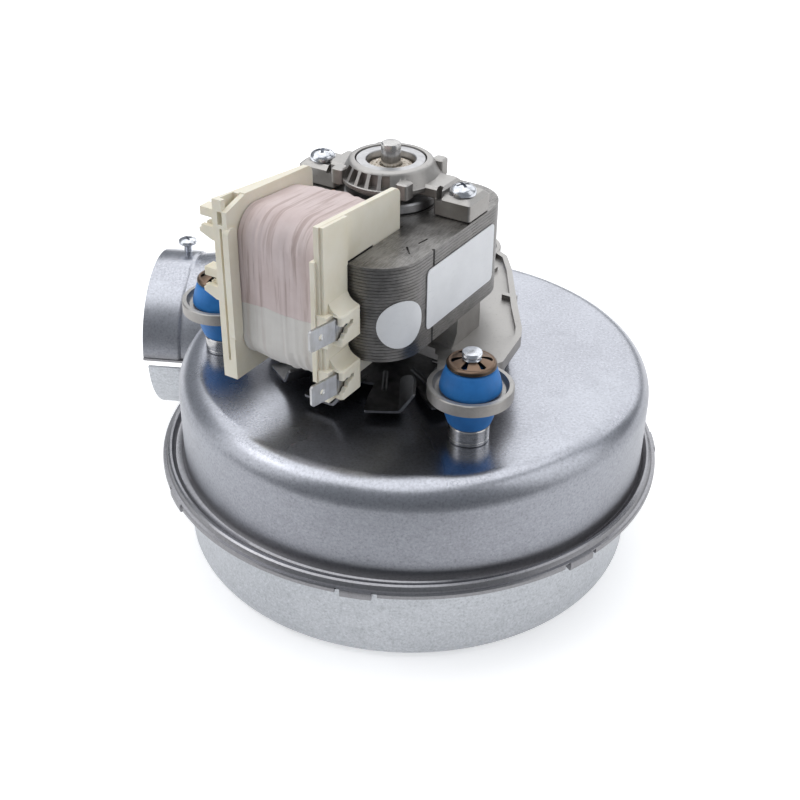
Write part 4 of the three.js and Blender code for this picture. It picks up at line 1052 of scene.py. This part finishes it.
def build_shading_ring(number, start, end):
    a = Vector(polar(17.6, start))
    b = Vector(polar(17.6, end))
    low = CORE_BOTTOM - 1.6
    high = CORE_TOP + 1.6
    bend = 1.4
    across = (b - a).normalized()
    path = []
    for corner, toward, up in ((a, across, 1), (b, -across, 1), (b, -across, -1), (a, across, -1)):
        z = high if up > 0 else low
        start_low = [(corner, z - up * bend), (corner + toward * 0.4, z - up * 0.4), (corner + toward * bend, z)]
        steps = start_low if (toward == across) == (up > 0) else list(reversed(start_low))
        path += [(p.x, p.y, height) for p, height in steps]
    wire = to_object(f"shading_ring_fine_{number}", tube(path, 0.85, 14, closed=True))
    return place(wire, MOTOR, COPPER, "housing", [f"shading_ring_{number}"], 60)


# ---- coil ----
def falling(outline):
    """Lets the upper half of an outline in x and z down towards the coil's back."""
    middle = (CORE_BOTTOM + CORE_TOP) / 2
    slope = COIL_DROP / (COIL_BACK - COIL_FRONT)
    return [(x, z - slope * (x - COIL_FRONT) if z > middle else z) for x, z in outline]


def flange_outline(bottom):
    """Square corners in front and rounded ones at the back."""
    corner = 2.5
    back = COIL_BACK - corner
    ends = arc(corner, -90, 0, 7, (back, bottom + corner)) + arc(corner, 0, 90, 7, (back, COIL_TOP - corner))
    return falling([(COIL_FRONT, bottom)] + ends + [(COIL_FRONT, COIL_TOP)])


def far_flange():
    """Thicker towards the front, hollow round the stator's leg, with a pocket in its top front corner."""
    inner = FLANGE_IN + FLANGE_T
    outer = inner + SPLAY
    obj = to_object("far_flange", upright(flange_outline(FAR_FLANGE_BOTTOM), FLANGE_IN, outer))
    wedge = [(COIL_FRONT - 1, FLANGE_IN - 1), (COIL_BACK + 1, FLANGE_IN - 1), (COIL_BACK + 1, inner),
             (COIL_BACK, inner), (COIL_FRONT, outer), (COIL_FRONT - 1, outer)]
    combine(obj, "INTERSECT", prism(wedge, FAR_FLANGE_BOTTOM - 1, COIL_TOP + 1))
    cut(obj, box(LEG_FRONT - 0.5, 0, 16.15, 40, CORE_BOTTOM - 0.3, CORE_TOP + 0.3))
    cut(obj, box(COIL_FRONT + 1.7, COIL_FRONT + 7.5, inner, outer - 1.5, POCKET_FLOOR, COIL_TOP + 1))
    cut(obj, box(COIL_FRONT - 1, COIL_FRONT + 1.8, inner, outer - 1.6, POCKET_FLOOR, POCKET_FLOOR + 4))
    cut(obj, box(COIL_FRONT - 1, COIL_FRONT + 1.0, inner + 0.3, inner + 1.1,
                 FAR_FLANGE_BOTTOM + 6, POCKET_FLOOR - 1))
    tongue = [(COIL_FRONT + x, COIL_TOP + z) for x, z in ((-1, 1), (-1, -3.6), (8.5, -0.8), (8.5, 1))]
    cut(obj, upright(tongue, FLANGE_IN - 1, inner + 0.01))
    return obj


def lug(z):
    """A notched shelf with a knob above it, where a wire is tied."""
    wall = FLANGE_IN + 3.4
    x0, x1 = COIL_FRONT + 0.5, COIL_FRONT + 7
    shelf = loft([[(x0, wall, low), (x1, wall, low), (x1, wall + reach, low), (x0, wall + reach, low)]
                  for low, reach in ((z - 0.6, 2.6), (z + 1.2, 6.9), (z + 2.4, 7.0))])
    pieces = [shelf, box(COIL_FRONT + 2, COIL_FRONT + 6, wall, wall + 7.6, z + 5.4, z + 8),
              box(COIL_FRONT + 2, COIL_FRONT + 3.6, wall - 0.4, wall + 3.6, z, z + 8)]
    for x in (COIL_FRONT + 0.5, COIL_FRONT + 3.0, COIL_FRONT + 5.6):
        pieces.append(box(x, x + 1.4, wall - 0.4, wall + 6.2, z + 2.2, z + 3.5))
    return pieces


def terminal_carrier(z):
    outer = -FLANGE_IN - FLANGE_T - CARRIER_DEPTH
    inner = -FLANGE_IN - 0.5
    top = z + CARRIER_HEIGHT
    back = COIL_FRONT + 11.6
    fillet = loft([[(TAB_BEND_X + 0.3, outer + lean, level), (back, outer + lean, level), (back, inner, level),
                    (TAB_BEND_X + 0.3, inner, level)]
                   for level, lean in ((top - 0.4, 0.4), (top + 0.5, 2.6), (top + 1.4, 3.7), (top + 2.8, 4.4))])
    return [chamfered_block(TAB_BEND_X, back, outer, inner, z, top, 0.4, 0.5),
            box(COIL_FRONT - 0.6, COIL_FRONT + 5, TAB_Y + 1, inner, z, top), fillet]


def carrier_slots(z):
    """The slot that takes the terminal's root, and the ragged window that bares it."""
    outer = -FLANGE_IN - FLANGE_T - CARRIER_DEPTH
    window = [(-57.5, 2.1), (-55.1, 2.7), (-54.4, 3.7), (-53.5, 3.6), (-52.9, 4.9), (-51.8, 5.0), (-50.4, 5.6),
              (-50.2, 6.8), (-51.6, 7.1), (-52.6, 6.3), (-53.8, 6.9), (-55.2, 6.5), (-57.5, 7.1)]
    low = z + TAB_LIFT - 0.3
    high = z + TAB_LIFT + TAB_HEIGHT + 0.3
    return [box(COIL_FRONT - 2, COIL_FRONT + 9, TAB_Y - 0.7, TAB_Y + 0.7, low, high),
            upright([(x, z + rise) for x, rise in window], outer - 1, TAB_Y)]


def build_bobbin():
    near = -FLANGE_IN - FLANGE_T
    obj = to_object("bobbin_moulding", upright(flange_outline(NEAR_FLANGE_BOTTOM), near, -FLANGE_IN))
    side = falling([(COIL_FRONT + 0.6, NEAR_FLANGE_BOTTOM), (COIL_FRONT + 12, NEAR_FLANGE_BOTTOM),
                    (COIL_FRONT + 12, COIL_TOP - 0.1), (COIL_FRONT + 0.6, COIL_TOP - 0.1)])
    added(obj, upright(side, near - 1.1, -FLANGE_IN))
    added(obj, box(COIL_FRONT - 1, COIL_FRONT + 1, -FLANGE_IN - 0.6, -FLANGE_IN + 0.8, 88, 125))
    join(obj, far_flange())
    lip = rounded_outline(COIL_FRONT - 0.8, COIL_FRONT + 3.2, 92, 127, 1.9)
    added(obj, upright(lip, FLANGE_IN - 0.8, FLANGE_IN + 1.2))
    for z in LUG_Z:
        added(obj, *lug(z))
    added(obj, box(LEG_FRONT - 2.5, BAR_BACK + 1.5, -FLANGE_IN - 1, FLANGE_IN + 1, CORE_BOTTOM - 1.5, CORE_TOP + 1.5))
    for z in CARRIER_Z:
        added(obj, *terminal_carrier(z))
        cut(obj, *carrier_slots(z))
    cut(obj, box(LEG_FRONT - 1.3, BAR_BACK + 0.3, -40, 40, CORE_BOTTOM - 0.3, CORE_TOP + 0.3))
    softened(obj, 0.24, 2, 35)
    obj.data.transform(Matrix.Translation((0, COIL_Y, 0)))
    return place(obj, MOTOR, IVORY, "housing", ["bobbin"], 38)


def band(inset, radius, hole, bulge, rows, steps, ripple=0.0):
    """A soft-cornered band round the bar, its axis along y, fuller in the middle."""
    x0, x1 = WIND_X0 + inset, WIND_X1 - inset
    z0, z1 = WIND_Z0 + inset, WIND_Z1 - inset
    half = FLANGE_IN - 0.3
    outline = falling(rounded_outline(x0, x1, z0, z1, radius, steps))
    middle = Vector(((x0 + x1) / 2, (z0 + z1) / 2))
    outer_rings = []
    inner_rings = []
    for k in range(rows + 1):
        y = -half + 2 * half * k / rows
        crown = bulge * (1 - (y / half) ** 2)
        ring = []
        for x, z in outline:
            away = (Vector((x, z)) - middle).normalized()
            wrinkle = ripple * noise.noise(Vector((x * 0.05, y * 0.75, z * 0.02)))
            ring.append((x + away.x * (crown + wrinkle), y + COIL_Y, z + away.y * (crown + wrinkle)))
        outer_rings.append(ring)
        inner_rings.append([(x, y + COIL_Y, z) for x, z in hole])
    return loft(outer_rings + list(reversed(inner_rings)), closed=True)


def build_coil():
    wall = 1.2
    steps = 16
    inside = falling(rounded_outline(
        WIND_X0 + wall, WIND_X1 - wall, WIND_Z0 + wall, WIND_Z1 - wall, 7.6, steps))
    tape = to_object("coil_tape_fine", band(0, 9.0, inside, 0.9, 60, steps, 0.5))
    place(tape, MOTOR, TAPE, "housing", ["coil_tape"], 60)
    steps = 12
    hole = rounded_outline(LEG_FRONT - 2.8, BAR_BACK + 1.8, CORE_BOTTOM - 1.8, CORE_TOP + 1.8, 0.8, steps)
    winding = to_object("coil_winding_fine", band(wall + 0.3, 7.2, hole, 0.7, 24, steps))
    return place(winding, MOTOR, WINDING, "housing", ["coil_winding"], 60)


def build_terminal(name, z):
    """A spade whose blade is bent a little towards the coil where it leaves its carrier."""
    z0 = z + TAB_LIFT
    z1 = z0 + TAB_HEIGHT
    half = TAB_T / 2
    blade = to_object("blade", upright(rounded_outline(-TAB_LENGTH, 0.5, z0, z1, 0.9, 3), -half, half))
    upright_hole = Matrix.Translation((4.2 - TAB_LENGTH, 0, (z0 + z1) / 2)) @ Matrix.Rotation(math.pi / 2, 4, "X")
    cut(blade, moved(rod(0.95, -3, 3, 0, 0, 32), upright_hole))
    bend = Matrix.Rotation(math.radians(TAB_BEND_DEGREES), 4, "Z")
    blade.data.transform(Matrix.Translation((TAB_BEND_X, 0, 0)) @ bend)
    obj = to_object(f"{name}_blade", box(TAB_BEND_X - 0.5, COIL_FRONT + 8.5, -half, half, z0, z1))
    join(obj, blade)
    softened(obj, 0.14, 2, 35)
    obj.data.transform(Matrix.Translation((0, TAB_Y + COIL_Y, 0)))
    return place(obj, MOTOR, BRASS, "housing", [name], 38)


# ---- labels ----
def build_labels():
    face = -CORE_HALF - 0.1
    outline = rounded_outline(-28.5, 11.0, 95.5, 114.5, 1.7, 6)
    plate = to_object("rating_label_blank", upright(outline, face - 0.25, face))
    place(plate, MOTOR, LABEL, "housing", ["rating_label"], 30)
    corner = 13.4
    centre = (LEG_FRONT + corner, -CORE_HALF + corner)
    middle_angle = -121.0
    middle_z = 101.5
    radius = 7.4
    sides = 40
    rings = 8
    corners = [(*polar(corner + 0.36, middle_angle, centre), middle_z)]
    for ring in range(1, rings + 1):
        reach = radius * ring / rings
        for i in range(sides):
            turn = 2 * math.pi * i / sides
            angle = middle_angle + math.degrees(reach * math.cos(turn) / corner)
            corners.append((*polar(corner + 0.36, angle, centre), middle_z + reach * math.sin(turn)))
    faces = [(0, 1 + i, 1 + (i + 1) % sides) for i in range(sides)]
    for ring in range(rings - 1):
        low = 1 + ring * sides
        for i in range(sides):
            j = (i + 1) % sides
            faces.append((low + i, low + sides + i, low + sides + j, low + j))
    disc = to_object("inspection_label_blank", (corners, faces))
    step = disc.modifiers.new("film", "SOLIDIFY")
    step.thickness = 0.24
    step.offset = -1
    applied(disc)
    return place(disc, MOTOR, LABEL, "housing", ["inspection_label"], 40)


# ---- rotor ----
def build_shaft():
    obj = to_object("shaft_ground", turned([
        (0, SHAFT_BOTTOM), (SHAFT_R - 0.4, SHAFT_BOTTOM), (SHAFT_R, SHAFT_BOTTOM + 0.4), (SHAFT_R, SHAFT_TOP - 0.45),
        (SHAFT_R - 0.12, SHAFT_TOP - 0.2), (SHAFT_R - 0.35, SHAFT_TOP - 0.03), (SHAFT_R - 0.45, SHAFT_TOP),
        (0, SHAFT_TOP)], 72))
    cut(obj, box(SHAFT_R - 0.45, 5, -5, 5, SHAFT_BOTTOM - 1, 52))
    return place(obj, MOTOR, STEEL, "rotor", ["shaft"])


def ringed(outer, inner, z0, z1, edge=0.3):
    return [(inner, z0), (outer - edge, z0), (outer, z0 + edge),
            (outer, z1 - edge), (outer - edge, z1), (inner, z1)]


def build_rotor():
    sheets = 30
    pitch = (CORE_TOP - CORE_BOTTOM) / sheets
    profile = [(3.1, CORE_BOTTOM)]
    for i in range(sheets):
        low = CORE_BOTTOM + pitch * i
        profile += [(14.45, low), (14.6, low + 0.1), (14.6, low + pitch - 0.1)]
    profile += [(14.45, CORE_TOP), (3.1, CORE_TOP)]
    place(to_object("rotor_core_stack", turned(profile, 64)), MOTOR, CORE_EDGE, "rotor", ["rotor_core"], 25)
    for node, z0, z1 in (("rotor_ring_lower", 86.8, 89.9), ("rotor_ring_upper", 119.7, 122.8)):
        ring = to_object(f"{node}_cast", turned(ringed(14.2, 8, z0, z1, 0.5), 72))
        place(ring, MOTOR, PRESSED, "rotor", [node])


def build_cooling_fan():
    """One stamping: a hub disc with tabs, each with one edge turned up as a leaning vane."""
    sheet = 0.8
    z = FAN_FLOOR
    obj = to_object("cooling_fan_stamping", turned([
        (3.1, z), (24, z), (24, z + sheet), (9.5, z + sheet), (8.2, z + 1.4), (7.5, z + 2.4), (7.5, z + 6.5),
        (3.1, z + 6.5)], 96))
    foot = 3.6
    section = [(-6.4, 0), (foot, 0), (4.8, 0.25), (5.7, 1.1), (9.3, 6.4), (8.5, 6.8), (4.8, 1.7), (4.2, 1.0),
               (foot - 0.2, sheet), (-6.4, sheet)]
    for i in range(FAN_BLADES):
        rings = []
        for r, narrow, grown in ((21, 3.0, 0.3), (24, 2.6, 0.62), (27, 1.9, 0.88), (31, 1.0, 1.0),
                                 (FAN_R - 1.0, 0.1, 1.0), (FAN_R - 0.25, 0.3, 0.97), (FAN_R, 0.9, 0.9)):
            ring = []
            for y, rise in section:
                if y > foot:
                    ring.append((r, foot + (y - foot) * grown, z + rise * grown))
                else:
                    ring.append((r, y + narrow if y < 0 else y, z + rise))
            rings.append(ring)
        blade = loft(rings)
        rib = tube([(17, -0.6, z + 0.6), (22, -0.6, z + 0.9), (26.5, -0.6, z + 0.75), (28, -0.6, z + 0.3)], 0.9, 16)
        turn = i * 360 / FAN_BLADES + FAN_PHASE
        added(obj, spun(blade, turn), spun(rib, turn))
    softened(obj, 0.12, 1, 40)
    return place(obj, MOTOR, STAMPED, "rotor", ["cooling_fan"], 35)


def build_wheel():
    hub = to_object("wheel_hub_turned", turned(ringed(9, 3.1, SHAFT_BOTTOM + 1, WHEEL_TOP - 0.3, 0.5), 64))
    cut(hub, along_x(rod(1.6, 2, 12, sides=24), 0, 43))
    place(hub, MOTOR, ALUMINIUM, "rotor", ["wheel_hub"])
    screw = to_object("hub_set_screw_fine", along_x(rod(1.4, SHAFT_R + 0.3, 8.8, sides=24), 0, 43))
    cut(screw, along_x(rod(0.7, 7.2, 10, sides=6), 0, 43))
    place(screw, MOTOR, STEEL, "rotor", ["hub_set_screw"])
    plate = to_object("wheel_backplate_sheet", turned([
        (3.1, WHEEL_TOP), (WHEEL_R - 0.3, WHEEL_TOP), (WHEEL_R, WHEEL_TOP + 0.3), (WHEEL_R, WHEEL_TOP + 0.8),
        (WHEEL_R - 0.3, WHEEL_TOP + 1), (3.1, WHEEL_TOP + 1)], 128))
    for i in range(6):
        cut(plate, rod(2.5, WHEEL_TOP - 3, WHEEL_TOP + 4, *polar(22, 60 * i + 30), 24))
    place(plate, MOTOR, GALVANISED_WHEEL, "rotor", ["wheel_backplate"])
    ring = to_object("wheel_front_ring_sheet", turned([
        (WHEEL_EYE_R, WHEEL_BOTTOM), (WHEEL_EYE_R + 0.6, WHEEL_BOTTOM - 0.6), (WHEEL_R, WHEEL_BOTTOM + 1),
        (WHEEL_R, WHEEL_BOTTOM + 2), (WHEEL_EYE_R + 0.8, WHEEL_BOTTOM + 0.5), (WHEEL_EYE_R, WHEEL_BOTTOM + 1)], 128))
    place(ring, MOTOR, GALVANISED_WHEEL, "rotor", ["wheel_front_ring"])
    line = []
    for i in range(15):
        t = i / 14
        radius = WHEEL_EYE_R + 0.6 + (WHEEL_R - WHEEL_EYE_R - 1.2) * t
        line.append(Vector(polar(radius, -30 * t ** 1.25)))
    left, right = [], []
    for i, point in enumerate(line):
        along = (line[min(i + 1, 14)] - line[max(i - 1, 0)]).normalized()
        left.append((point.x - along.y * 0.45, point.y + along.x * 0.45))
        right.append((point.x + along.y * 0.45, point.y - along.x * 0.45))
    outline = left + list(reversed(right))
    for number in range(1, WHEEL_BLADES + 1):
        blade = to_object(f"wheel_blade_fine_{number}", spun(
            prism(outline, WHEEL_BOTTOM + 2.1, WHEEL_TOP - 0.1), (number - 1) * 360 / WHEEL_BLADES))
        place(blade, MOTOR, GALVANISED_WHEEL, "rotor", [f"wheel_blade_{number}"])


# ---- assembly ----
build_upper_casing()
build_lower_casing()
build_spigot_screw()
for number, (stud_x, stud_y) in enumerate(stud_places(), 1):
    build_isolator(number, stud_x, stud_y)
build_lower_bracket()
build_bearing("lower_bearing_barrel", "lower_bearing", 81.1, 85.6)
build_retainer("lower_retainer_ring", "lower_bearing_retainer", 81.1, 85.4, 9.5)
build_upper_bracket()
build_bearing("upper_bearing_barrel", "upper_bearing", 125.4, 129.6)
build_retainer("upper_retainer_ring", "upper_bearing_retainer", 125.5, BOSS_TOP - 0.3, 10.6)
build_felt()
build_motor_screw("motor_screw_left", 1, 30)
build_motor_screw("motor_screw_right", -1, 52)
build_core()
build_shading_ring(1, 118, 144)
build_shading_ring(2, -62, -36)
build_bobbin()
build_coil()
build_terminal("terminal_lower", CARRIER_Z[0])
build_terminal("terminal_upper", CARRIER_Z[1])
build_labels()
build_shaft()
build_rotor()
build_cooling_fan()
build_wheel()


# ---- floor, light and camera ----
def build_floor():
    """Ends just in front of the picture, so that upright metal also mirrors something darker."""
    near, reach = -0.165, 3.0
    mesh = bpy.data.meshes.new("floor")
    corners = [(-reach, near, 0), (reach, near, 0), (reach, reach, 0), (-reach, reach, 0)]
    mesh.from_pydata(corners, [], [(0, 1, 2, 3)])
    mesh.materials.append(pale_floor("pale_floor"))
    floor = bpy.data.objects.new("floor", mesh)
    floor.location.z = -0.0003
    bpy.context.scene.collection.objects.link(floor)


def build_lamp(name, place_m, aim_m, width, height, power):
    data = bpy.data.lights.new(name, "AREA")
    data.shape = "RECTANGLE"
    data.size = width
    data.size_y = height
    data.energy = power
    lamp = bpy.data.objects.new(name, data)
    lamp.location = place_m
    lamp.rotation_euler = (Vector(aim_m) - Vector(place_m)).to_track_quat("-Z", "Y").to_euler()
    bpy.context.scene.collection.objects.link(lamp)


def build_world():
    world = bpy.data.worlds.new("studio")
    world.use_nodes = True
    background = world.node_tree.nodes["Background"]
    background.inputs["Color"].default_value = (0.88, 0.93, 1.0, 1)
    background.inputs["Strength"].default_value = 0.30
    bpy.context.scene.world = world


def build_camera():
    centre = CASING.translation
    forward = Vector((-0.0986, 0.8375, -0.5374))
    right = Vector((0.9923, 0.1234, 0.01016))
    up = Vector((-0.0748, 0.5323, 0.8433))
    data = bpy.data.cameras.new("camera")
    data.lens = 55.19
    data.sensor_width = 36
    camera = bpy.data.objects.new("camera", data)
    spot = Vector((centre.x + 37.92, centre.y - 349.99, BASE_LIFT + 268.58)) * MM
    rotation = Matrix((right, up, -forward)).transposed()
    camera.matrix_world = Matrix.Translation(spot) @ rotation.to_4x4()
    bpy.context.scene.collection.objects.link(camera)
    bpy.context.scene.camera = camera


bpy.context.scene.view_settings.view_transform = "Standard"
build_floor()
build_world()
build_lamp("top_softbox", (-0.2, 0.1, 0.95), (0, 0, 0.05), 1.4, 1.4, 7.5)
build_lamp("left_softbox", (-1.0, -0.35, 0.6), (0, 0, 0.06), 0.8, 1.2, 3.4)
build_lamp("right_softbox", (1.0, -0.2, 0.6), (0, 0, 0.06), 0.8, 1.2, 3.0)
build_lamp("back_softbox", (0.45, 1.3, 0.85), (0, 0, 0.06), 2.0, 1.1, 7.6)
build_camera()
